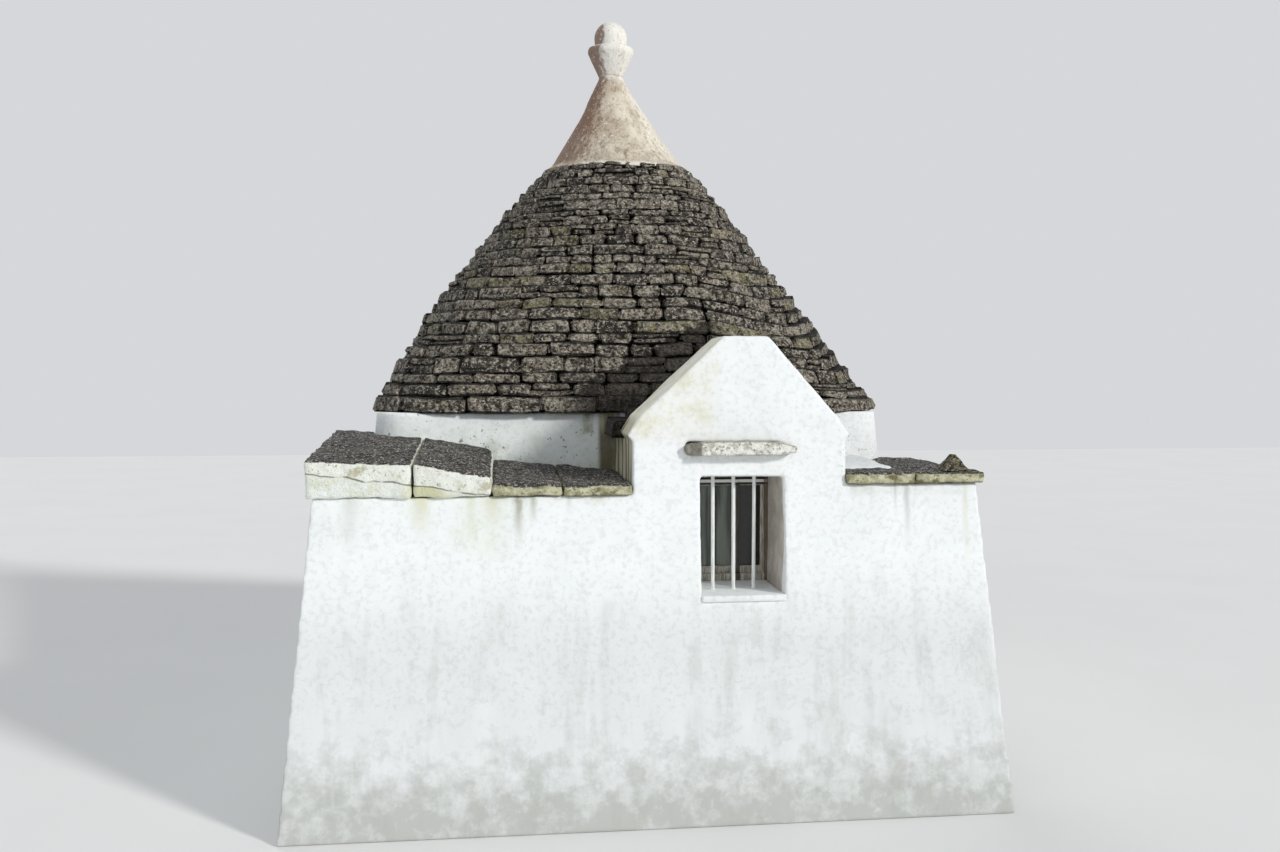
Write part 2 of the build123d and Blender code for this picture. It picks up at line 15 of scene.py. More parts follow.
import bpy
import numpy as np
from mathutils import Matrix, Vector

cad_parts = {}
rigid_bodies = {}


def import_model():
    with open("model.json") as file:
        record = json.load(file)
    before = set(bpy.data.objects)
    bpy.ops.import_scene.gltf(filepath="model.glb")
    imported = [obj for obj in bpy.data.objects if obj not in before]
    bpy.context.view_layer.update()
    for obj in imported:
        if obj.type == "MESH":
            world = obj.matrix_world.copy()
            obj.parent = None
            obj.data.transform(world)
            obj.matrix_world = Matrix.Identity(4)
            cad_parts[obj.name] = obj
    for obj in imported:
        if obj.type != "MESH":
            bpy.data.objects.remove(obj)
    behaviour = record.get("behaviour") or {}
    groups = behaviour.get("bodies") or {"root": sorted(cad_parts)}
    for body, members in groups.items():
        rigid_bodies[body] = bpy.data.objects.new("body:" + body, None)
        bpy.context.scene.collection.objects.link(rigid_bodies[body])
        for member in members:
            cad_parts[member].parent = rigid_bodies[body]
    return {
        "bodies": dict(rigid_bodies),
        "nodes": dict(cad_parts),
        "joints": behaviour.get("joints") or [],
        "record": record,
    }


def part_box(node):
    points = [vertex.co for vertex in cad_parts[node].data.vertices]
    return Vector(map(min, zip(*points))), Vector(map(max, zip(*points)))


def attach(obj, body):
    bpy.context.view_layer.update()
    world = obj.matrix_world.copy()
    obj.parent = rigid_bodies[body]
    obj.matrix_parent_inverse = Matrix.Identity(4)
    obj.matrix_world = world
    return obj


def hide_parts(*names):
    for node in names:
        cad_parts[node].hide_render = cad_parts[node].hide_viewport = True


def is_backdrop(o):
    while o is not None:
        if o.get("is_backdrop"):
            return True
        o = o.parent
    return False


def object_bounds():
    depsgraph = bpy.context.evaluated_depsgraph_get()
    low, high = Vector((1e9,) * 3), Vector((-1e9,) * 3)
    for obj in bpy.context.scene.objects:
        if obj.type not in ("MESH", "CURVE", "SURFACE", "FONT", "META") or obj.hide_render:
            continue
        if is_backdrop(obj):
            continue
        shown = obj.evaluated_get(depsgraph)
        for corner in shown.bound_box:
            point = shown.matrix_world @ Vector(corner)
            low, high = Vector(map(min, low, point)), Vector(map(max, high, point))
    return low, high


LOG = logging.getLogger("trullo")
BODY = "root"
Colour = tuple[float, float, float, float]


def paint(red: int, green: int, blue: int) -> Colour:
    """Turns a colour as it is seen, 0 to 255, into the linear one that a shader takes.

    Args:
        red: Red, 0 to 255.
        green: Green, 0 to 255.
        blue: Blue, 0 to 255.

    Returns:
        The linear colour with full alpha.
    """
    seen = [channel / 255 for channel in (red, green, blue)]
    return (*(c / 12.92 if c <= 0.04045 else ((c + 0.055) / 1.055) ** 2.4 for c in seen), 1.0)


# Mesh tools


class Lumps:
    """Smooth seeded noise in space, the same on every run."""

    def __init__(self, seed: int) -> None:
        """Fills the table of random values that the noise reads."""
        self.table = np.random.default_rng(seed).uniform(-1, 1, 4096)

    def at(self, points: np.ndarray, size: float) -> np.ndarray:
        """Noise between -1 and 1 whose lumps are about as large as a length.

        Args:
            points: One point a row.
            size: Length of a lump.

        Returns:
            One value a point.
        """
        place = np.asarray(points, float) / size + 1000.0
        cell = np.floor(place).astype(np.int64)
        part = place - cell
        part = part * part * (3 - 2 * part)
        total = np.zeros(len(place))
        for corner in range(8):
            step = np.array([(corner >> axis) & 1 for axis in range(3)])
            key = (cell + step) @ np.array([73856093, 19349663, 83492791])
            weight = np.prod(np.where(step, part, 1 - part), axis=1)
            total += weight * self.table[(key ^ (key >> 13)) % 4096]
        return total

    def mixed(self, points: np.ndarray, layers: Iterable[tuple[float, float]]) -> np.ndarray:
        """Adds up noise of several sizes, each given as its lump size and its height."""
        return sum(height * self.at(points, size) for size, height in layers)


def deselect() -> None:
    """Leaves object mode with nothing selected."""
    if bpy.context.object and bpy.context.object.mode != "OBJECT":
        bpy.ops.object.mode_set(mode="OBJECT")
    bpy.ops.object.select_all(action="DESELECT")


def pick(*pieces: bpy.types.Object) -> None:
    """Selects pieces, with the first one active."""
    deselect()
    for piece in pieces:
        piece.select_set(True)
    bpy.context.view_layer.objects.active = pieces[0]


def places(piece: bpy.types.Object) -> np.ndarray:
    """Reads a piece's vertices as one row each."""
    flat = np.empty(len(piece.data.vertices) * 3, np.float32)
    piece.data.vertices.foreach_get("co", flat)
    return flat.reshape(-1, 3).astype(float)


def set_places(piece: bpy.types.Object, points: np.ndarray) -> None:
    """Writes a piece's vertices."""
    piece.data.vertices.foreach_set("co", np.ascontiguousarray(points, np.float32).ravel())
    piece.data.update()


def outward(piece: bpy.types.Object) -> np.ndarray:
    """Reads a piece's vertex normals as one row each."""
    flat = np.empty(len(piece.data.vertices) * 3, np.float32)
    piece.data.vertex_normals.foreach_get("vector", flat)
    return flat.reshape(-1, 3).astype(float)


def modify(piece: bpy.types.Object, kind: str, **values: object) -> None:
    """Adds one modifier with its values and applies it.

    Args:
        piece: The piece to change.
        kind: Blender's name of the modifier.
        **values: The modifier's settings.
    """
    pick(piece)
    modifier = piece.modifiers.new(kind.lower(), kind)
    for key, value in values.items():
        setattr(modifier, key, value)
    bpy.ops.object.modifier_apply(modifier=modifier.name)


def smooth(piece: bpy.types.Object, degrees: float = 180) -> None:
    """Shades a piece smooth, with edges sharper than an angle left sharp."""
    pick(piece)
    if degrees >= 180:
        bpy.ops.object.shade_smooth()
    else:
        bpy.ops.object.shade_smooth_by_angle(angle=math.radians(degrees))


def finish_mesh(piece: bpy.types.Object) -> None:
    """Puts a piece's place into its mesh and turns its faces outwards."""
    pick(piece)
    bpy.ops.object.transform_apply(location=True, rotation=True, scale=True)
    bpy.ops.object.mode_set(mode="EDIT")
    bpy.ops.mesh.select_all(action="SELECT")
    bpy.ops.mesh.normals_make_consistent(inside=False)
    bpy.ops.object.mode_set(mode="OBJECT")


def join(pieces: Sequence[bpy.types.Object], name: str) -> bpy.types.Object:
    """Joins pieces into one and names it."""
    pick(*pieces)
    if len(pieces) > 1:
        bpy.ops.object.join()
    joined = bpy.context.view_layer.objects.active
    joined.name = joined.data.name = name
    return joined


def copy_nodes(frame: dict, nodes: Sequence[str], name: str) -> bpy.types.Object:
    """Copies solids of the frame into one merged mesh that can be shaped.

    Args:
        frame: What the frame loader returned.
        nodes: The solids' names.
        name: The new piece's name.

    Returns:
        The new piece.
    """
    copies = []
    for node in nodes:
        copy = bpy.data.objects.new(name, frame["nodes"][node].data.copy())
        bpy.context.scene.collection.objects.link(copy)
        copy.data.materials.clear()
        copies.append(copy)
    piece = join(copies, name)
    bpy.ops.object.mode_set(mode="EDIT")
    bpy.ops.mesh.select_all(action="SELECT")
    bpy.ops.mesh.remove_doubles(threshold=0.0002)
    bpy.ops.object.mode_set(mode="OBJECT")
    return piece


def loose_parts(piece: bpy.types.Object) -> list[bpy.types.Object]:
    """Parts a piece into its separate solids."""
    pick(piece)
    bpy.ops.object.mode_set(mode="EDIT")
    bpy.ops.mesh.select_all(action="SELECT")
    bpy.ops.mesh.separate(type="LOOSE")
    bpy.ops.object.mode_set(mode="OBJECT")
    return list(bpy.context.selected_objects)


def skin(piece: bpy.types.Object, voxel: float, passes: int) -> None:
    """Gives a piece an even mesh with softened edges."""
    modify(piece, "REMESH", mode="VOXEL", voxel_size=voxel)
    if passes:
        modify(piece, "SMOOTH", factor=0.5, iterations=passes)


def roughen(piece: bpy.types.Object, lumps: Lumps, layers: Iterable[tuple[float, float]],
            keep: Callable[[np.ndarray], np.ndarray] | None = None) -> None:
    """Moves a piece's surface in and out by noise.

    Args:
        piece: The piece to change.
        lumps: The noise.
        layers: Lump sizes and heights.
        keep: Share of the movement that each point takes.
    """
    points, normals = places(piece), outward(piece)
    height = lumps.mixed(points, layers)
    if keep is not None:
        height = height * keep(points)
    set_places(piece, points + normals * height[:, None])


def ramp(values: np.ndarray, low: float, high: float) -> np.ndarray:
    """Goes smoothly from 0 at one value to 1 at another."""
    share = np.clip((values - low) / (high - low), 0, 1)
    return share * share * (3 - 2 * share)


def floor_kept(points: np.ndarray) -> np.ndarray:
    """Keeps the foot of the walls where it meets the ground."""
    return ramp(points[:, 2], 0.0, 0.05)


# Finishes


class Tree:
    """Short calls for adding and linking shader nodes."""

    def __init__(self, tree: bpy.types.NodeTree) -> None:
        """Keeps the tree that nodes go into."""
        self.tree = tree

    def add(self, kind: str, values: dict | None = None, **settings: object) -> bpy.types.Node:
        """Adds a node.

        Args:
            kind: Blender's name of the node, without its prefix.
            values: Inputs by name or number, each a value or a socket to link.
            **settings: The node's own settings.

        Returns:
            The node.
        """
        node = self.tree.nodes.new(f"ShaderNode{kind}")
        for key, value in settings.items():
            setattr(node, key, value)
        for key, value in (values or {}).items():
            socket = node.inputs[key]
            if isinstance(value, bpy.types.NodeSocket):
                self.tree.links.new(value, socket)
            else:
                socket.default_value = value
        return node

    def math(self, operation: str, first: object, second: object = 0.0,
             clamp: bool = False) -> bpy.types.NodeSocket:
        """Works out a value from two others."""
        node = self.add("Math", {0: first, 1: second}, operation=operation, use_clamp=clamp)
        return node.outputs[0]

    def mix(self, factor: object, first: object, second: object, blend: str = "MIX") -> bpy.types.NodeSocket:
        """Blends two colours."""
        node = self.add("Mix", {0: factor, 6: first, 7: second}, data_type="RGBA", blend_type=blend)
        return node.outputs[2]

    def span(self, value: object, low: float, high: float, start: float = 0.0,
             end: float = 1.0) -> bpy.types.NodeSocket:
        """Spreads a value smoothly from one range to another."""
        node = self.add("MapRange", {0: value, 1: low, 2: high, 3: start, 4: end},
                        interpolation_type="SMOOTHSTEP")
        return node.outputs[0]

    def noise(self, vector: object, scale: float, detail: float = 3.0,
              rough: float = 0.55) -> bpy.types.NodeSocket:
        """Reads cloudy noise."""
        node = self.add("TexNoise", {"Vector": vector, "Scale": scale, "Detail": detail, "Roughness": rough})
        return node.outputs[0]

    def stretched(self, vector: object, scale: tuple[float, float, float],
                  place: tuple[float, float, float] = (0.0, 0.0, 0.0)) -> bpy.types.NodeSocket:
        """Scales coordinates unevenly."""
        return self.add("Mapping", {"Vector": vector, "Location": place, "Scale": scale}).outputs[0]

    def group(self, effect: "Effect", **values: object) -> bpy.types.Node:
        """Places a shared effect with its own values."""
        node = self.tree.nodes.new("ShaderNodeGroup")
        node.node_tree = effect.tree
        for key, value in values.items():
            socket = node.inputs[key.replace("_", " ").title()]
            if isinstance(value, bpy.types.NodeSocket):
                self.tree.links.new(value, socket)
            else:
                socket.default_value = value
        return node


class Effect:
    """A node group with named inputs and outputs that several finishes share."""

    def __init__(self, name: str, inputs: dict[str, object], outputs: Sequence[str]) -> None:
        """Makes the empty group.

        Args:
            name: The group's name.
            inputs: Each input's name with its value; three numbers make a vector.
            outputs: Names of the values that come out.
        """
        self.tree = bpy.data.node_groups.new(name, "ShaderNodeTree")
        for key, value in inputs.items():
            kind = "NodeSocketVector" if isinstance(value, tuple) else "NodeSocketFloat"
            socket = self.tree.interface.new_socket(key, in_out="INPUT", socket_type=kind)
            socket.default_value = value
        for key in outputs:
            self.tree.interface.new_socket(key, in_out="OUTPUT", socket_type="NodeSocketFloat")
        self.work = Tree(self.tree)
        self.start = self.tree.nodes.new("NodeGroupInput")
        self.end = self.tree.nodes.new("NodeGroupOutput")

    def read(self, name: str) -> bpy.types.NodeSocket:
        """Gives the socket of an input inside the group."""
        return self.start.outputs[name]

    def give(self, name: str, value: bpy.types.NodeSocket) -> None:
        """Sends a value out of the group."""
        self.tree.links.new(value, self.end.inputs[name])


@dataclass
class Effects:
    """The effects that more than one finish uses, each built once."""

    zone: Effect = field(init=False)
    runs: Effect = field(init=False)
    lichen: Effect = field(init=False)
    grain: Effect = field(init=False)

    def __post_init__(self) -> None:
        """Builds every effect."""
        self.zone = self.build_zone()
        self.runs = self.build_runs()
        self.lichen = self.build_lichen()
        self.grain = self.build_grain()

    def build_zone(self) -> Effect:
        """A soft box in space: 1 inside it and 0 away from it."""
        effect = Effect("zone", {"Place": (0.0, 0.0, 0.0), "Middle": (0.0, 0.0, 0.0),
                                 "Half": (1.0, 1.0, 1.0), "Blur": 0.2}, ["Mask"])
        work = effect.work
        away = work.add("VectorMath", {0: effect.read("Place"), 1: effect.read("Middle")}, operation="SUBTRACT")
        away = work.add("VectorMath", {0: away.outputs[0]}, operation="ABSOLUTE")
        away = work.add("VectorMath", {0: away.outputs[0], 1: effect.read("Half")}, operation="SUBTRACT")
        parts = work.add("SeparateXYZ", {0: away.outputs[0]})
        far = work.math("MAXIMUM", work.math("MAXIMUM", parts.outputs[0], parts.outputs[1]), parts.outputs[2])
        share = work.math("DIVIDE", far, effect.read("Blur"))
        effect.give("Mask", work.span(share, 0.0, 1.0, 1.0, 0.0))
        return effect

    def build_runs(self) -> Effect:
        """Marks that rain draws down a wall."""
        effect = Effect("rain runs", {"Place": (0.0, 0.0, 0.0), "Width": 14.0, "Amount": 0.5}, ["Mask"])
        work = effect.work
        thin = work.stretched(effect.read("Place"), (1.0, 1.0, 0.09))
        lines = work.add("TexNoise", {"Vector": thin, "Scale": effect.read("Width"), "Detail": 4.0,
                                      "Roughness": 0.6}).outputs[0]
        broken = work.noise(effect.read("Place"), 5.0, 4.0)
        both = work.math("MULTIPLY", work.span(lines, 0.45, 0.68), work.span(broken, 0.35, 0.62))
        effect.give("Mask", work.math("MULTIPLY", both, effect.read("Amount"), clamp=True))
        return effect

    def build_lichen(self) -> Effect:
        """Round crusts of lichen of mixed sizes."""
        effect = Effect("lichen", {"Place": (0.0, 0.0, 0.0), "Scale": 30.0, "Amount": 0.3}, ["Mask"])
        work = effect.work
        warp = work.add("TexNoise", {"Vector": effect.read("Place"), "Scale": 28.0, "Detail": 2.0})
        bent = work.add("VectorMath", {0: warp.outputs[1], 1: (0.03, 0.03, 0.03)}, operation="MULTIPLY")
        place = work.add("VectorMath", {0: effect.read("Place"), 1: bent.outputs[0]}, operation="ADD")
        cells = work.add("TexVoronoi", {"Vector": place.outputs[0], "Scale": effect.read("Scale")})
        chance = work.add("SeparateColor", {0: cells.outputs["Color"]}).outputs[0]
        chosen = work.math("LESS_THAN", chance, effect.read("Amount"))
        round_ = work.span(cells.outputs["Distance"], 0.28, 0.46, 1.0, 0.0)
        effect.give("Mask", work.math("MULTIPLY", chosen, round_))
        return effect

    def build_grain(self) -> Effect:
        """Pits and mottling of weathered stone or plaster, as a height and a tone."""
        effect = Effect("stone grain", {"Place": (0.0, 0.0, 0.0), "Scale": 40.0}, ["Height", "Tone"])
        work = effect.work
        coarse = work.add("TexNoise", {"Vector": effect.read("Place"), "Scale": effect.read("Scale"),
                                       "Detail": 6.0, "Roughness": 0.65}).outputs[0]
        pits = work.add("TexVoronoi", {"Vector": effect.read("Place"),
                                       "Scale": work.math("MULTIPLY", effect.read("Scale"), 2.2)})
        pit = work.span(pits.outputs["Distance"], 0.05, 0.35)
        effect.give("Height", work.math("MULTIPLY", coarse, work.math("ADD", work.math("MULTIPLY", pit, 0.4), 0.6)))
        effect.give("Tone", work.span(coarse, 0.33, 0.67))
        return effect


class Finish:
    """A procedural material. Each finish fills in its own nodes."""

    name = "finish"
    slot = "whitewash"

    def __init__(self, effects: Effects) -> None:
        """Builds the material from the shared effects."""
        self.effects = effects
        self.material = bpy.data.materials.new(self.name)
        self.material.use_nodes = True
        tree = self.material.node_tree
        tree.nodes.clear()
        self.work = Tree(tree)
        self.place = self.work.add("TexCoord").outputs["Object"]
        self.shader = self.work.add("BsdfPrincipled")
        output = self.work.add("OutputMaterial")
        tree.links.new(self.shader.outputs[0], output.inputs[0])
        self.build()

    def build(self) -> None:
        """Fills in the nodes."""
        raise NotImplementedError

    def set(self, **values: object) -> None:
        """Sets or links the shader's own inputs."""
        for key, value in values.items():
            socket = self.shader.inputs[key.replace("_", " ")]
            if isinstance(value, bpy.types.NodeSocket):
                self.work.tree.links.new(value, socket)
            else:
                socket.default_value = value

    def relief(self, height: bpy.types.NodeSocket, distance: float, strength: float = 1.0) -> None:
        """Gives the surface fine relief.

        Args:
            height: The height, about 0 to 1.
            distance: How high 1 stands, in metres.
            strength: How much of it shows.
        """
        bump = self.work.add("Bump", {"Strength": strength, "Distance": distance, "Height": height})
        self.set(Normal=bump.outputs[0])

    def zone(self, middle: tuple[float, float, float], half: tuple[float, float, float],
             blur: float) -> bpy.types.NodeSocket:
        """Marks a soft box in space."""
        node = self.work.group(self.effects.zone, place=self.place, middle=middle, half=half, blur=blur)
        return node.outputs[0]

    def level(self, low: float, high: float) -> bpy.types.NodeSocket:
        """Goes from 0 at one height to 1 at another."""
        parts = self.work.add("SeparateXYZ", {0: self.place})
        return self.work.span(parts.outputs[2], low, high)

    def facing(self) -> bpy.types.NodeSocket:
        """How far the surface faces up, from -1 to 1."""
        geometry = self.work.add("NewGeometry")
        return self.work.add("SeparateXYZ", {0: geometry.outputs["Normal"]}).outputs[2]

    def times(self, *masks: object) -> bpy.types.NodeSocket:
        """Multiplies masks."""
        total = masks[0]
        for mask in masks[1:]:
            total = self.work.math("MULTIPLY", total, mask, clamp=True)
        return total


class RoofStone(Finish):
    """Weathered grey limestone slabs, rough and pitted, with black hollows, pale flecks and moss."""

    name = "weathered roof slabs"
    slot = "cone_stone"

    def build(self) -> None:
        """Varies the tone from slab to slab, breaks each face into pale and black flecks, paints a highlight along
        the slab edges and paints the gable's shadow on the cone.
        """
        work = self.work
        stone = work.add("Attribute", attribute_name="stone")
        parts = work.add("SeparateColor", {0: stone.outputs["Color"]})
        tone, hue, rim = parts.outputs[0], parts.outputs[1], parts.outputs[2]
        broad = work.noise(self.place, 7.0, 3.0, 0.6)
        lumps = work.noise(self.place, 25.0, 3.0, 0.55)
        flecks = work.noise(work.stretched(self.place, (1.0, 1.0, 1.4)), 50.0, 3.0, 0.65)
        colour = work.mix(tone, paint(60, 53, 44), paint(166, 156, 140))
        colour = work.mix(work.span(broad, 0.54, 0.68, 0.0, 0.4), colour, paint(118, 98, 80))
        colour = work.mix(work.span(lumps, 0.48, 0.39, 0.0, 0.88), colour, paint(32, 27, 20))
        colour = work.mix(work.span(lumps, 0.53, 0.62, 0.0, 0.75), colour, paint(188, 180, 165))
        # A pale band just inside each slab's rim: painted highlight on the stone edges.
        inner, outer = work.span(rim, 0.12, 0.34), work.span(rim, 0.62, 0.42)
        rim_highlight = self.times(inner, outer, work.span(lumps, 0.44, 0.54), 0.5)
        colour = work.mix(rim_highlight, colour, paint(216, 208, 192))
        colour = work.mix(work.span(flecks, 0.565, 0.65, 0.0, 0.8), colour, paint(226, 220, 205))
        colour = work.mix(work.span(flecks, 0.46, 0.38, 0.0, 0.88), colour, paint(20, 16, 10))
        wet = work.math("ADD", work.span(hue, 0.06, 0.03), work.span(broad, 0.6, 0.72, 0.0, 0.5), clamp=True)
        tufts = work.span(work.noise(work.stretched(self.place, (1.0, 1.0, 1.6)), 31.0, 3.0, 0.6), 0.49, 0.57)
        moss = self.times(wet, tufts, work.span(self.facing(), -0.4, 0.4, 0.5, 1.0), 0.85)
        colour = work.mix(moss, colour, work.mix(lumps, paint(92, 88, 48), paint(172, 166, 116)))
        spots = work.group(self.effects.lichen, place=self.place, scale=34.0, amount=0.045)
        colour = work.mix(self.times(spots.outputs[0], 0.7), colour, paint(208, 204, 192))
        shelf = work.span(self.facing(), 0.45, 0.9, 0.0, 0.45)
        colour = work.mix(shelf, colour, paint(62, 58, 48))
        joint = work.span(rim, 0.66, 1.0, 0.0, 0.9)
        colour = work.mix(joint, colour, paint(18, 15, 10))
        # Dark brown painted shadow of the gable on the cone.
        colour = work.mix(self.times(self.painted_gable_shadow(lumps), 0.84), colour, paint(30, 22, 16))
        self.set(Base_Color=colour, Roughness=work.span(lumps, 0.3, 0.7, 0.98, 0.84))
        height = work.math("ADD", work.math("MULTIPLY", lumps, 1.3), work.math("MULTIPLY", flecks, 0.6))
        self.relief(height, 0.055, 1.0)

    def painted_gable_shadow(self, lumps: bpy.types.NodeSocket) -> bpy.types.NodeSocket:
        """Marks the painted shadow that the gable casts on the stones to its left, where the small roof meets the
        cone.
        """
        work = self.work
        parts = work.add("SeparateXYZ", {0: self.place})
        across, deep, up = parts.outputs[0], parts.outputs[1], parts.outputs[2]
        above = work.math("SUBTRACT", up, work.math("ADD", work.math("MULTIPLY", across, 0.52), 2.71))
        above = work.math("ADD", above, work.span(lumps, 0.3, 0.7, -0.03, 0.03))
        sides = self.times(work.span(across, -0.60, -0.25), work.span(across, 0.62, 0.50))
        return self.times(work.span(above, 0.02, -0.03), sides, work.span(deep, -1.2, -1.4))


class LedgeStone(Finish):
    """Ledge slabs: rough and dark on top, with pale lichened edges."""

    name = "ledge slabs"
    slot = "ledge_stone"

    def build(self) -> None:
        """Darkens what faces up, keeps the edges cream and paints shade on what faces down."""
        work = self.work
        grain = work.group(self.effects.grain, place=self.place, scale=38.0)
        mottle = work.noise(self.place, 20.0, 6.0, 0.65)
        edge = work.mix(work.span(mottle, 0.36, 0.62), paint(158, 155, 122), paint(212, 210, 180))
        blots = work.noise(work.stretched(self.place, (0.6, 1.0, 1.0)), 24.0, 4.0, 0.66)
        edge = work.mix(work.span(blots, 0.51, 0.39, 0.0, 0.85), edge, paint(102, 95, 60))
        colour = work.mix(self.upper(0.32, 0.62, mottle), edge, self.tar(mottle))
        # What faces down is darkened: painted shade under the slabs.
        colour = work.mix(work.span(self.facing(), -0.3, -0.8, 0.0, 0.7), colour, paint(92, 88, 72))
        self.set(Base_Color=colour, Roughness=0.93)
        self.relief(grain.outputs[0], 0.016, 1.0)

    def upper(self, low: float, high: float, mottle: bpy.types.NodeSocket) -> bpy.types.NodeSocket:
        """Marks what faces up, with a ragged border."""
        ragged = self.work.math("ADD", self.facing(), self.work.span(mottle, 0.3, 0.7, -0.2, 0.2))
        return self.work.span(ragged, low, high)

    def tar(self, mottle: bpy.types.NodeSocket) -> bpy.types.NodeSocket:
        """The black crust of the upper faces, with pale grit."""
        work = self.work
        top = work.mix(work.span(mottle, 0.4, 0.6), paint(24, 22, 20), paint(66, 63, 58))
        grit = work.span(work.noise(self.place, 42.0, 3.0, 0.6), 0.56, 0.64, 0.0, 0.8)
        top = work.mix(grit, top, paint(176, 172, 164))
        sand = work.span(work.noise(self.place, 75.0, 2.0, 0.6), 0.59, 0.66, 0.0, 0.8)
        top = work.mix(sand, top, paint(206, 202, 194))
        return work.mix(work.span(work.noise(self.place, 6.0, 3.0), 0.6, 0.74, 0.0, 0.4), top, paint(92, 86, 60))


class TiltedStone(LedgeStone):
    """The thick tilted slab at the left end: whitewashed in front, black on top, bedded in mortar."""

    name = "whitewashed ledge block"
    bed = (-0.95, 1.905)
    tilt = 0.125

    def build(self) -> None:
        """Lets stone show through worn limewash and shows the mortar under the slab."""
        work = self.work
        grain = work.group(self.effects.grain, place=self.place, scale=34.0)
        mottle = work.noise(self.place, 10.0, 6.0, 0.66)
        front = work.mix(work.span(mottle, 0.36, 0.5), paint(196, 193, 168), paint(238, 241, 232))
        front = work.mix(work.span(work.noise(self.place, 32.0, 5.0, 0.72), 0.44, 0.33, 0.0, 0.8), front,
                         paint(112, 104, 70))
        parts = work.add("SeparateXYZ", {0: self.place})
        above = work.math("SUBTRACT", parts.outputs[2], self.bed[1])
        slope = work.math("MULTIPLY", work.math("SUBTRACT", self.bed[0], parts.outputs[0]), self.tilt)
        above = work.math("SUBTRACT", above, slope)
        above = work.math("ADD", above, work.span(work.noise(self.place, 5.0, 2.0), 0.3, 0.7, -0.012, 0.012))
        mortar = work.mix(work.span(mottle, 0.35, 0.6), paint(224, 228, 210), paint(240, 244, 240))
        sour = self.times(self.zone((-1.30, -2.80, 1.9), (0.04, 0.4, 0.3), 0.14), 0.7)
        mortar = work.mix(sour, mortar, paint(206, 204, 154))
        front = work.mix(work.span(above, 0.004, -0.004), front, mortar)
        broken = work.span(work.noise(self.place, 8.0, 2.0), 0.36, 0.5, 0.15, 0.8)
        crack = self.times(work.span(above, -0.008, -0.001), work.span(above, 0.008, 0.001), broken)
        front = work.mix(crack, front, paint(92, 84, 56))
        self.set(Base_Color=work.mix(self.upper(0.42, 0.62, mottle), front, self.tar(mottle)), Roughness=0.92)
        self.relief(grain.outputs[0], 0.014, 1.0)


class HoodStone(Finish):
    """Pale beige rough limestone."""

    name = "pale limestone"
    slot = "hood_stone"
    dark = paint(184, 182, 170)
    light = paint(242, 242, 234)

    def build(self) -> None:
        """Mottles the stone in beige and grey and paints shade on the slanting left end of the hood."""
        work = self.work
        grain = work.group(self.effects.grain, place=self.place, scale=44.0)
        mottle = work.noise(self.place, 24.0, 5.0, 0.66)
        colour = work.mix(work.span(mottle, 0.36, 0.58), self.dark, self.light)
        colour = work.mix(work.span(work.noise(self.place, 46.0, 4.0, 0.68), 0.45, 0.36, 0.0, 0.8), colour,
                          paint(126, 116, 98))
        colour = work.mix(work.span(self.facing(), 0.3, 0.8, 0.0, 0.6), colour, paint(140, 134, 116))
        # The hood's slanting left end is darkened: painted shade.
        facet_shade = self.zone((0.218, -2.9, 2.16), (0.038, 0.3, 0.2), 0.012)
        colour = work.mix(self.times(facet_shade, 0.8), colour, paint(120, 116, 100))
        self.set(Base_Color=colour, Roughness=0.9)
        self.relief(grain.outputs[0], 0.012, 1.0)


class StepStone(HoodStone):
    """The worn grey limestone of the doorstep."""

    name = "worn step"
    slot = "floor_stone"
    dark = paint(124, 117, 104)
    light = paint(172, 165, 150)


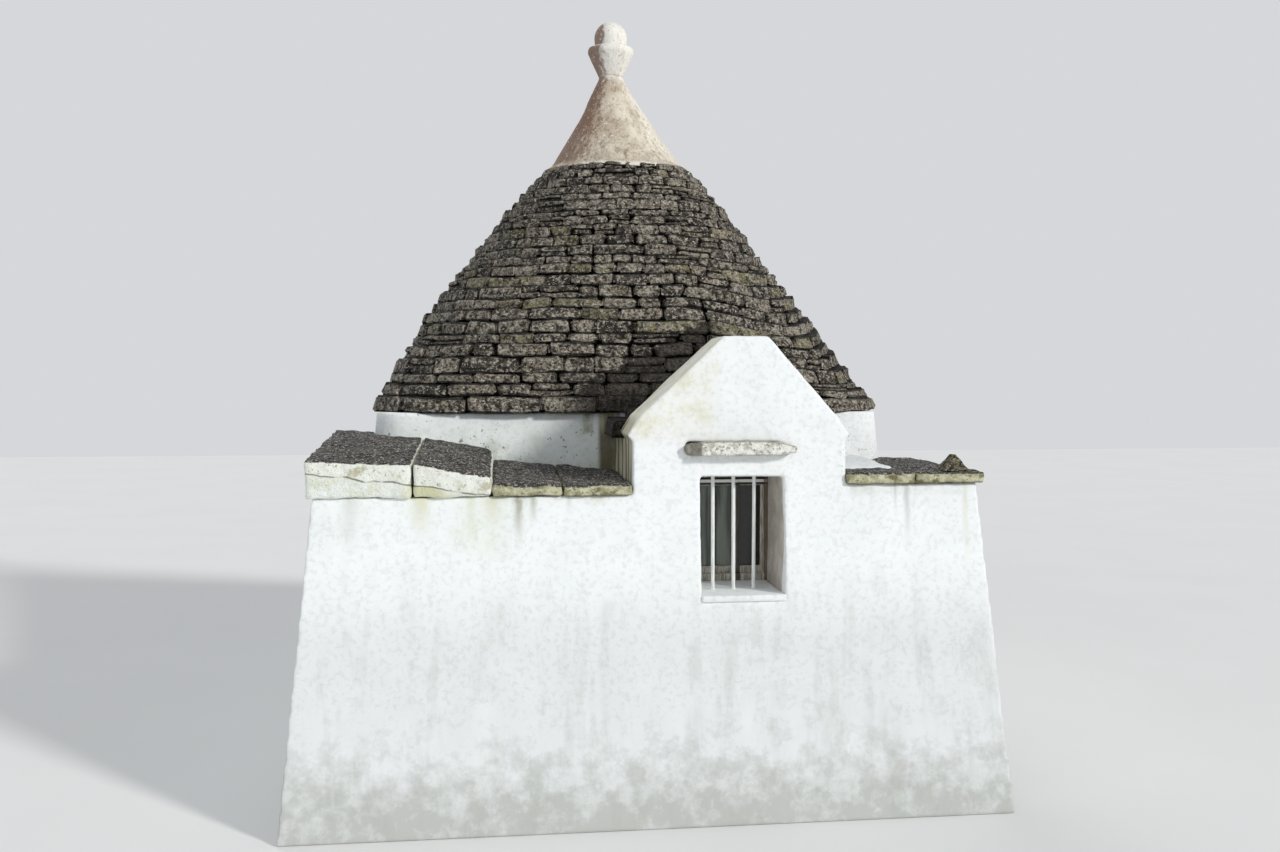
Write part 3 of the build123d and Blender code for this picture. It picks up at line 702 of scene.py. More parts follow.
class Whitewash(Finish):
    """Cool white limewash with algae, grey stains, old runs and small flaws, greyer towards the foot."""

    name = "limewash"
    slot = "whitewash"

    def build(self) -> None:
        """Lays the stains over the white in the places where the house has them, paints light on the gable's left
        slope and paints shade on the bay's left cheek and the window's right reveal.
        """
        work = self.work
        soft = work.noise(self.place, 3.2, 4.0, 0.6)
        fine = work.noise(self.place, 34.0, 5.0, 0.62)
        cloud = work.noise(self.place, 7.0, 5.0, 0.66)
        colour = work.mix(work.span(soft, 0.35, 0.66), paint(239, 243, 243), paint(246, 249, 250))
        colour = work.mix(work.span(cloud, 0.58, 0.72, 0.0, 0.05), colour, paint(212, 219, 213))
        runs = work.group(self.effects.runs, place=self.place, width=9.0, amount=1.0).outputs[0]
        grit = work.span(work.noise(self.place, 60.0, 4.0, 0.7), 0.6, 0.68)
        patches = work.span(cloud, 0.42, 0.66)
        for middle, half, blur, wash, streaks, dots, stain in self.stains():
            mask = self.zone(middle, half, blur)
            amount = work.math("MULTIPLY", work.span(patches, 0.0, 1.0, 0.3, 1.0), wash)
            amount = work.math("ADD", amount, work.math("MULTIPLY", runs, streaks))
            amount = work.math("ADD", amount, work.math("MULTIPLY", grit, dots))
            colour = work.mix(self.times(mask, amount), colour, stain)
        for x, width, low, high, share, stain in self.drips():
            colour = work.mix(work.math("MULTIPLY", self.drip(x, width, low, high, fine), share), colour, stain)
        # The gable's left slope, facing left and up, is turned cream near-white: partly lichen, partly painted light
        # on a face in shade.
        normal = work.add("SeparateXYZ", {0: work.add("NewGeometry").outputs["Normal"]})
        rake = self.times(work.span(normal.outputs[0], -0.3, -0.6), work.span(normal.outputs[2], 0.3, 0.6), 0.9)
        lichened = work.mix(work.span(cloud, 0.4, 0.6), paint(242, 236, 208), paint(254, 253, 246))
        colour = work.mix(rake, colour, lichened)
        # The bay's left cheek gets olive and brown bands: partly stain, partly painted shade.
        cheek = self.zone((-0.17, -2.15, 2.16), (0.05, 0.50, 0.3), 0.04)
        bands = work.noise(work.stretched(self.place, (1.0, 1.0, 0.12)), 9.0, 2.0, 0.5)
        old = work.mix(work.span(bands, 0.42, 0.58), paint(96, 88, 56), paint(196, 190, 160))
        colour = work.mix(self.times(cheek, work.span(soft, 0.2, 0.5, 0.7, 0.95)), colour, old)
        # The window's right reveal is greyed brown: painted shade.
        reveal = self.zone((0.80, -2.50, 1.62), (0.045, 0.205, 0.36), 0.02)
        painted_reveal_shade = work.mix(work.span(cloud, 0.4, 0.65), paint(178, 168, 158), paint(208, 199, 189))
        colour = work.mix(self.times(reveal, 0.95), colour, painted_reveal_shade)
        spalls = work.span(work.noise(self.place, 26.0, 3.0, 0.6), 0.66, 0.70)
        drum = self.zone((0.0, 0.0, 2.12), (1.9, 1.9, 0.2), 0.06)
        colour = work.mix(self.times(spalls, drum, 0.8), colour, paint(116, 104, 78))
        # The outside walls turn greyer towards their foot.
        lower_grey = work.math("ADD", self.level(1.55, 0.95), work.span(soft, 0.3, 0.7, -0.3, 0.2), clamp=True)
        outside = work.math("SUBTRACT", 1.0, self.zone((0.0, 0.0, 1.0), (1.2, 1.2, 1.4), 0.08), clamp=True)
        colour = work.mix(self.times(lower_grey, outside, 0.4), colour, paint(196, 198, 199))
        foot = self.level(0.9, 0.4)
        ragged = work.math("MULTIPLY", work.span(fine, 0.3, 0.7, -0.3, 0.3), work.span(foot, 0.0, 1.0, 1.0, 0.35))
        clouded = work.math("MULTIPLY", work.span(cloud, 0.34, 0.66, -0.40, 0.28), foot)
        foot_grey = work.math("ADD", self.level(0.65, 0.0), work.math("ADD", ragged, clouded), clamp=True)
        colour = work.mix(self.times(foot_grey, outside, 0.55), colour, paint(146, 147, 136))
        low_runs = self.times(runs, self.level(1.7, 1.1), outside, 0.22)
        colour = work.mix(low_runs, colour, paint(160, 164, 152))
        self.set(Base_Color=colour, Roughness=work.span(fine, 0.3, 0.7, 0.86, 0.97))
        height = work.math("ADD", work.math("MULTIPLY", fine, 0.3), work.noise(self.place, 9.0, 3.0))
        self.relief(height, 0.006, 0.35)

    def drip(self, x: float, width: float, low: float, high: float,
             fine: bpy.types.NodeSocket) -> bpy.types.NodeSocket:
        """Marks one thin run of dirty water down the street front.

        Args:
            x: Where it runs.
            width: Its half width at the top.
            low: Height where it fades out.
            high: Height where it starts.
            fine: Noise that makes it ragged.

        Returns:
            The mask.
        """
        work = self.work
        parts = work.add("SeparateXYZ", {0: self.place})
        wander = work.noise(work.stretched(self.place, (0.3, 1.0, 0.6)), 9.0, 2.0)
        sway = work.span(wander, 0.3, 0.7, -0.003, 0.003)
        away = work.math("ABSOLUTE", work.math("SUBTRACT", work.math("ADD", parts.outputs[0], sway), x))
        ragged = work.math("ADD", away, work.span(fine, 0.3, 0.7, -0.35 * width, 0.35 * width))
        front = work.span(parts.outputs[1], -2.60, -2.66)
        fade = work.span(parts.outputs[2], low, high)
        start = work.span(parts.outputs[2], high + 0.03, high)
        return self.times(work.span(ragged, 1.3 * width, 0.0), front, fade, start)

    @staticmethod
    def drips() -> list[tuple]:
        """Gives each run's place, half width, lower and upper end, strength and colour."""
        olive, sand, grey = paint(124, 118, 76), paint(206, 204, 160), paint(150, 152, 140)
        return [
            (-0.785, 0.030, 1.58, 1.90, 0.7, olive), (-0.70, 0.022, 1.70, 1.90, 0.5, olive),
            (-0.93, 0.06, 1.66, 1.90, 0.5, sand), (-1.05, 0.03, 1.60, 1.90, 0.3, sand),
            (-0.50, 0.02, 1.74, 1.90, 0.3, grey), (-1.33, 0.06, 1.60, 1.90, 0.6, sand),
            (-1.72, 0.05, 1.5, 1.92, 0.25, grey), (1.50, 0.022, 1.50, 1.93, 0.45, grey),
            (1.43, 0.014, 1.72, 1.93, 0.4, grey), (1.86, 0.02, 1.3, 1.93, 0.35, sand),
        ]

    @staticmethod
    def stains() -> list[tuple]:
        """Gives each stain's middle, half size, blur, wash, streaks, dots and colour."""
        algae, ochre = paint(170, 174, 112), paint(222, 218, 186)
        grey, green = paint(120, 122, 100), paint(206, 220, 206)
        return [
            ((-0.62, -2.85, 1.88), (0.30, 0.25, 0.0), 0.05, 0.2, 0.25, 0.1, algae),
            ((-1.02, -2.85, 1.76), (0.08, 0.25, 0.12), 0.14, 0.2, 0.15, 0.0, paint(222, 224, 188)),
            ((-1.30, -2.85, 1.80), (0.5, 0.25, 0.06), 0.22, 0.16, 0.15, 0.1, green),
            ((1.45, -2.85, 1.90), (0.34, 0.25, 0.0), 0.05, 0.1, 0.15, 0.2, grey),
            ((1.13, -2.85, 2.04), (0.02, 0.3, 0.10), 0.05, 0.05, 0.1, 0.9, grey),
            ((0.12, -2.75, 2.42), (0.16, 0.3, 0.14), 0.14, 0.5, 0.2, 0.0, ochre),
            ((0.24, -2.75, 2.60), (0.08, 0.3, 0.06), 0.12, 0.4, 0.2, 0.0, ochre),
            ((-0.06, -2.75, 2.30), (0.03, 0.3, 0.04), 0.06, 0.5, 0.0, 0.1, ochre),
            ((-0.95, -1.75, 2.06), (0.85, 0.12, 0.10), 0.20, 0.45, 0.2, 0.0, green),
            ((-0.95, -1.75, 1.98), (0.75, 0.12, 0.0), 0.08, 0.35, 0.2, 0.2, paint(190, 200, 160)),
            ((-1.10, -1.75, 2.06), (0.30, 0.12, 0.03), 0.10, 0.15, 0.2, 0.9, grey),
            ((-0.30, -1.75, 2.28), (0.02, 0.12, 0.06), 0.04, 0.4, 0.8, 0.3, paint(150, 150, 118)),
            ((1.45, -1.75, 2.1), (0.3, 0.12, 0.06), 0.14, 0.04, 0.08, 0.8, grey),
            ((0.0, 1.95, 1.80), (2.2, 0.3, 0.04), 0.28, 0.4, 0.35, 0.1, algae),
            ((2.0, -0.2, 1.80), (0.3, 2.3, 0.04), 0.28, 0.4, 0.35, 0.1, grey),
            ((-2.0, -0.2, 1.80), (0.3, 2.3, 0.04), 0.28, 0.4, 0.35, 0.1, algae),
        ]


class Plaster(Finish):
    """Cream lime plaster of the cap and the pinnacle, streaked with brown and grey."""

    name = "cap plaster"
    slot = "plaster"

    def build(self) -> None:
        """Streaks the plaster from the top down, browns its lower edge, pales its right side as painted light and
        browns its left side, partly dirt and partly painted shade.
        """
        work = self.work
        fine = work.noise(work.stretched(self.place, (1.0, 1.0, 0.55)), 34.0, 6.0, 0.68)
        wide = work.noise(work.stretched(self.place, (1.0, 1.0, 0.6)), 4.5, 4.0, 0.6)
        colour = work.mix(work.span(wide, 0.35, 0.65), paint(188, 173, 153), paint(226, 217, 200))
        colour = work.mix(work.span(fine, 0.54, 0.68, 0.0, 0.6), colour, paint(146, 124, 100))
        runs = work.group(self.effects.runs, place=self.place, width=24.0, amount=1.0).outputs[0]
        colour = work.mix(self.times(runs, 0.8), colour, paint(122, 98, 78))
        high = self.level(4.85, 5.0)
        colour = work.mix(self.times(high, 0.85), colour, paint(246, 245, 240))
        thin = work.group(self.effects.runs, place=self.place, width=60.0, amount=1.0).outputs[0]
        colour = work.mix(self.times(high, thin, 0.45), colour, paint(150, 138, 116))
        # Faces that look right are paled as painted light; faces that look left are browned, partly dirt and partly
        # painted shade.
        normal = work.add("SeparateXYZ", {0: work.add("NewGeometry").outputs["Normal"]})
        painted_light_side = work.math("ADD", normal.outputs[0], work.span(fine, 0.3, 0.7, 0.16, -0.16))
        colour = work.mix(work.span(painted_light_side, 0.35, 0.7, 0.0, 0.6), colour, paint(246, 242, 230))
        colour = work.mix(work.span(painted_light_side, -0.3, -0.68, 0.0, 0.85), colour, paint(122, 88, 68))
        low = work.math("ADD", self.level(4.42, 4.14), work.span(fine, 0.35, 0.65, -0.35, 0.2), clamp=True)
        colour = work.mix(self.times(low, 0.4), colour, paint(156, 142, 120))
        edge = self.times(self.level(4.205, 4.17), work.span(painted_light_side, -0.5, -0.2), 0.7)
        colour = work.mix(edge, colour, paint(244, 240, 228))
        specks = work.noise(work.stretched(self.place, (1.0, 1.0, 0.6)), 52.0, 4.0, 0.75)
        pits = work.span(specks, 0.58, 0.68, 0.0, 0.7)
        colour = work.mix(pits, colour, paint(96, 80, 62))
        chips = work.span(work.noise(self.place, 40.0, 4.0, 0.7), 0.58, 0.66, 0.0, 0.7)
        colour = work.mix(chips, colour, paint(244, 238, 224))
        self.set(Base_Color=colour, Roughness=0.92)
        self.relief(work.math("ADD", fine, work.math("MULTIPLY", wide, 1.5)), 0.008, 0.7)


class RoomStone(Finish):
    """Bare limestone inside the house, in courses."""

    name = "room stone"
    slot = "vault_stone"
    block = (3.4, 9.0)
    light = paint(186, 178, 160)
    dark = paint(140, 131, 114)

    def build(self) -> None:
        """Draws blocks and their joints by height and by direction."""
        work = self.work
        grain = work.group(self.effects.grain, place=self.place, scale=30.0)
        parts = work.add("SeparateXYZ", {0: self.place})
        along = work.math("ADD", parts.outputs[0], parts.outputs[1])
        flat = work.add("CombineXYZ", {0: along, 1: self.row(parts)})
        bricks = work.add("TexBrick", {"Vector": flat.outputs[0], "Color1": self.light, "Color2": self.dark,
                                       "Mortar": paint(96, 88, 74), "Scale": 1.0, "Mortar Size": 0.006,
                                       "Brick Width": 1 / self.block[0], "Row Height": 1 / self.block[1]})
        colour = work.mix(work.span(work.noise(self.place, 12.0, 5.0), 0.35, 0.7, 0.0, 0.5), bricks.outputs[0],
                          paint(112, 102, 84))
        self.set(Base_Color=colour, Roughness=0.9)
        height = work.math("SUBTRACT", grain.outputs[0], bricks.outputs[1])
        self.relief(height, 0.01, 0.8)

    def row(self, parts: bpy.types.Node) -> bpy.types.NodeSocket:
        """Gives the coordinate that counts the rows."""
        return parts.outputs[2]


class FloorStone(RoomStone):
    """Worn paving of the room."""

    name = "paving"
    slot = "floor_stone"
    block = (1.9, 2.6)
    light = paint(160, 152, 138)
    dark = paint(126, 118, 104)

    def row(self, parts: bpy.types.Node) -> bpy.types.NodeSocket:
        """Counts the rows across the floor."""
        return self.work.math("SUBTRACT", parts.outputs[1], parts.outputs[0])


class Paint(Finish):
    """Old paint on wood or iron, chipped and dust-dulled."""

    name = "grey window paint"
    slot = "frame_paint"
    light = paint(196, 192, 182)
    dark = paint(138, 130, 116)
    bare = paint(92, 72, 54)
    worn = 0.62
    # Rail lines made near white: partly the rail's pale paint, partly painted light.
    lit = ((1.9265, 0.0085),)
    # Dark painted shadow lines beside the rails.
    shadow_lines = ((1.9435, 0.0065), (1.9105, 0.0055))
    brown = (0.765, 0.025)

    def build(self) -> None:
        """Wears the paint away in patches and paints near-white light on the rail lines, dark shadow lines beside
        them, the brown stile and shade on the meeting stile.
        """
        work = self.work
        grain = work.noise(work.stretched(self.place, (8.0, 8.0, 0.8)), 16.0, 4.0)
        patch = work.noise(self.place, 22.0, 5.0, 0.65)
        colour = work.mix(work.span(grain, 0.35, 0.65), self.dark, self.light)
        colour = work.mix(work.span(patch, self.worn, self.worn + 0.1, 0.0, 0.7), colour, self.bare)
        for z, half in self.lit:
            colour = work.mix(self.zone((0.5, -2.3, z), (0.5, 0.3, half), 0.003), colour, paint(250, 250, 244))
        for z, half in self.shadow_lines:
            colour = work.mix(self.zone((0.5, -2.3, z), (0.5, 0.3, half), 0.003), colour, paint(34, 29, 22))
        if self.brown[1] > 0:
            strip = self.zone((self.brown[0], -2.3, 1.6), (self.brown[1], 0.3, 0.5), 0.003)
            colour = work.mix(self.times(strip, 0.8), colour, paint(96, 76, 58))
            # Painted shade on the meeting stile.
            shaded = self.zone((0.574, -2.3, 1.6), (0.013, 0.3, 0.306), 0.003)
            colour = work.mix(self.times(shaded, 0.85), colour, paint(42, 36, 28))
        self.set(Base_Color=colour, Roughness=work.span(patch, 0.3, 0.7, 0.45, 0.75))
        self.relief(grain, 0.002, 0.5)


class BarPaint(Paint):
    """White paint on the window bars."""

    name = "white bar paint"
    light = paint(240, 242, 240)
    dark = paint(214, 217, 214)
    bare = paint(134, 104, 76)
    worn = 0.68
    lit = ()
    shadow_lines = ()
    brown = (0.0, 0.0)


class WindowGlass(Finish):
    """Window glass painted with the dark grey-green of the unlit room behind it, and a paler painted reflection on
    the left leaf.
    """

    name = "window glass"
    slot = "glass"

    def build(self) -> None:
        """Tints the glass unevenly: painted room shade, with a paler painted reflection in vertical bands on the
        left leaf.
        """
        work = self.work
        left = self.zone((0.36, -2.3, 1.65), (0.19, 0.2, 0.5), 0.01)
        cloud = work.noise(work.stretched(self.place, (6.0, 1.0, 0.25)), 4.0, 3.0)
        painted_room_shade = work.mix(work.span(cloud, 0.35, 0.65), paint(20, 21, 14), paint(44, 46, 36))
        # The paler tone of the left leaf is a painted reflection.
        pale = work.mix(work.span(cloud, 0.42, 0.58), paint(68, 74, 66), paint(128, 136, 126))
        colour = work.mix(left, painted_room_shade, pale)
        self.set(Base_Color=colour, Roughness=work.span(work.noise(self.place, 20.0, 2.0), 0.3, 0.7, 0.06, 0.14),
                 Metallic=0.0, Transmission_Weight=0.25, IOR=1.5)


class Ground(Finish):
    """The plain pale floor."""

    name = "studio floor"
    shade = paint(240, 240, 239)

    def build(self) -> None:
        """Gives the floor an almost even tone."""
        work = self.work
        cloud = work.noise(self.place, 0.6, 2.0)
        colour = work.mix(work.span(cloud, 0.3, 0.7, 0.0, 0.25), self.shade, paint(232, 232, 231))
        self.set(Base_Color=colour, Roughness=0.9)


# The cone


@dataclass(frozen=True)
class Ring:
    """A rounded square that one course follows."""

    half: float
    corner: float
    shift: float

    @property
    def length(self) -> float:
        """Length once round."""
        return 8 * (self.half - self.corner) + 2 * math.pi * self.corner

    def at(self, run: np.ndarray) -> tuple[np.ndarray, np.ndarray]:
        """Finds points by their distance along the ring.

        Args:
            run: Distances from the left end of the front side, going right.

        Returns:
            Points and outward directions in plan, one row each.
        """
        flat, arc = 2 * (self.half - self.corner), math.pi * self.corner / 2
        side, along = np.divmod(np.mod(run, self.length), flat + arc)
        turn = np.clip((along - flat) / self.corner, 0, math.pi / 2)
        straight = along < flat
        x = np.where(straight, along - flat / 2, flat / 2 + self.corner * np.sin(turn))
        y = np.where(straight, -self.half, -(self.half - self.corner) - self.corner * np.cos(turn))
        nx, ny = np.where(straight, 0, np.sin(turn)), np.where(straight, -1, -np.cos(turn))
        c, s = np.cos(side * math.pi / 2), np.sin(side * math.pi / 2)
        point = np.stack([c * x - s * y + self.shift, s * x + c * y], 1)
        normal = np.stack([c * nx - s * ny, s * nx + c * ny], 1)
        return point, normal


@dataclass(frozen=True)
class ConeShape:
    """The cone's outer form, which changes from a rounded square to a circle as it rises."""

    eave_z: float = 2.335
    rise: float = 1.840
    eave_half: float = 1.760
    cap_radius: float = 0.550
    bulge: float = 0.4
    eave_corner: float = 0.600
    round_at: float = 0.6
    full_round: float = 0.985
    shift_low: float = 0.022
    shift_high: float = 0.055
    courses: int = 24
    course_low: float = 0.093

    def level(self, index: float) -> float:
        """Height of the bed under a course."""
        thinning = 2 * (self.course_low - self.rise / self.courses) / (self.courses - 1)
        return self.eave_z + self.course_low * index - thinning * index * (index - 1) / 2

    def ring(self, height: float) -> Ring:
        """The form's outline at a height."""
        share = (height - self.eave_z) / self.rise
        drawn = (1 - self.bulge) * share + self.bulge * share**2
        half = self.eave_half - (self.eave_half - self.cap_radius) * drawn
        square = self.eave_corner / self.eave_half
        corner = half * min(self.full_round, square + (self.full_round - square) * share / self.round_at)
        return Ring(half, corner, self.shift_low + (self.shift_high - self.shift_low) * share)


@dataclass
class Slab:
    """One roofing slab, given along its course."""

    start: float
    end: float
    bed: float
    top: float
    rim: float
    out: float
    yaw: float
    slant: float
    tone: float
    hue: float


class SlabPattern:
    """The one modelled slab that all small slabs are copied from."""

    cuts_along = (-0.6, -0.2, 0.2, 0.6)
    cuts_up = (-0.5, 0.5)
    cut_deep = -0.8

    def __init__(self) -> None:
        """Models a block with cuts near its edges: x along the course, y inwards, z up."""
        deselect()
        bpy.ops.mesh.primitive_cube_add(size=2, location=(0, 0, 0))
        piece = bpy.context.object
        cuts = [((c, 0, 0), (1, 0, 0)) for c in self.cuts_along]
        cuts += [((0, 0, c), (0, 0, 1)) for c in self.cuts_up] + [((0, self.cut_deep, 0), (0, 1, 0))]
        bpy.ops.object.mode_set(mode="EDIT")
        for place, normal in cuts:
            bpy.ops.mesh.select_all(action="SELECT")
            bpy.ops.mesh.bisect(plane_co=place, plane_no=normal)
        bpy.ops.mesh.select_all(action="SELECT")
        bpy.ops.mesh.normals_make_consistent(inside=False)
        bpy.ops.object.mode_set(mode="OBJECT")
        self.points = places(piece)
        self.faces = [tuple(face.vertices) for face in piece.data.polygons]
        bpy.data.objects.remove(piece)

    def shaped(self, length: float, height: float, depth: float, rim: float,
               rng: np.random.Generator) -> tuple[np.ndarray, np.ndarray]:
        """Gives one slab its size, broken edges and crooked corners.

        Args:
            length: Length along the course.
            height: Thickness.
            depth: Size into the roof.
            rim: How far its edges are broken.
            rng: Source of the small differences.

        Returns:
            Its points from its middle, front at y = 0, and how near each lies to the rim.
        """
        a, c = length / 2, height / 2
        tall = min(rim, 0.3 * height)
        u = np.interp(self.points[:, 0], (-1, -0.6, -0.2, 0.2, 0.6, 1), (-a, -a + rim, -a / 3, a / 3, a - rim, a))
        w = np.interp(self.points[:, 2], (-1, -0.5, 0.5, 1), (-c, -c + tall, c - tall, c))
        v = np.interp(self.points[:, 1], (-1, self.cut_deep, 1), (0, 0.5 * rim, depth))
        end, edge = np.abs(np.abs(u) - a) < 1e-6, np.abs(np.abs(w) - c) < 1e-6
        face = v < 1e-6
        right, up = (u / a + 1) / 2, (w / c + 1) / 2
        blunt = rng.uniform(0.35, 1.0, 4) ** 2 * min(0.46 * height, 0.24 * length)
        below = blunt[0] * (1 - right) + blunt[1] * right
        above = blunt[2] * (1 - right) + blunt[3] * right
        cut = below * (1 - up) + above * up
        corner = end & edge
        u = u - np.sign(u) * np.where(corner, cut, 0) - np.sign(u) * np.where(face & end, 0.3 * rim, 0)
        w = w - np.sign(w) * np.where(corner, 0.62 * cut, 0) - np.sign(w) * np.where(face & edge, 0.3 * tall, 0)
        v = v + np.where(face & corner, 1.1, np.where(face & end, 0.75, np.where(face & edge, 0.4, 0.0))) * rim
        wave = rng.normal(0, 1, (3, len(u)))
        w = w + np.where(edge & ~end, 0.04, 0.0) * height * wave[0]
        u = u + np.where(end & ~edge, 0.06, 0.0) * height * wave[1]
        v = v + np.where(face & ~end & ~edge, 0.0055, 0.0) * wave[2]
        crook = rng.uniform(-1, 1, 8)
        w = w + 0.09 * height * ((1 - right) * crook[0] + right * crook[1]) * up
        w = w + 0.07 * height * ((1 - right) * crook[2] + right * crook[3]) * (1 - up)
        u = u + 0.014 * (crook[4] * up + crook[5] * (1 - up)) * np.sign(u)
        bulge = np.where(face & ~end & ~edge, 0.003 + 0.004 * crook[7], 0)
        v = v + 0.008 * crook[6] * (2 * right - 1) - bulge
        near = np.where(edge, 1.0, np.where(end, 0.75, 0.0))
        return np.stack([u, v, w], 1), near


class SlabWork:
    """Collects slabs and makes one piece of them."""

    def __init__(self, pattern: SlabPattern) -> None:
        """Starts with no slabs."""
        self.pattern = pattern
        self.points: list[np.ndarray] = []
        self.looks: list[np.ndarray] = []

    def add(self, points: np.ndarray, near: np.ndarray, tone: float, hue: float) -> None:
        """Adds one slab's points and its looks."""
        self.points.append(points)
        look = np.ones((len(points), 4))
        look[:, 0], look[:, 1], look[:, 2] = tone, hue, near
        self.looks.append(look)

    def piece(self, name: str, lumps: Lumps) -> bpy.types.Object:
        """Makes the piece, roughens it and shades it."""
        count = len(self.pattern.points)
        faces = [tuple(v + index * count for v in face)
                 for index in range(len(self.points)) for face in self.pattern.faces]
        mesh = bpy.data.meshes.new(name)
        points = np.concatenate(self.points)
        layers = ((0.09, 0.0065), (0.035, 0.0035))
        shake = np.stack([lumps.mixed(points + shift, layers) for shift in (0, 3, 7)], 1)
        mesh.from_pydata((points + shake).tolist(), [], faces)
        look = mesh.attributes.new("stone", "FLOAT_COLOR", "POINT")
        look.data.foreach_set("color", np.concatenate(self.looks).astype(np.float32).ravel())
        piece = bpy.data.objects.new(name, mesh)
        bpy.context.scene.collection.objects.link(piece)
        finish_mesh(piece)
        smooth(piece, 34)
        return piece


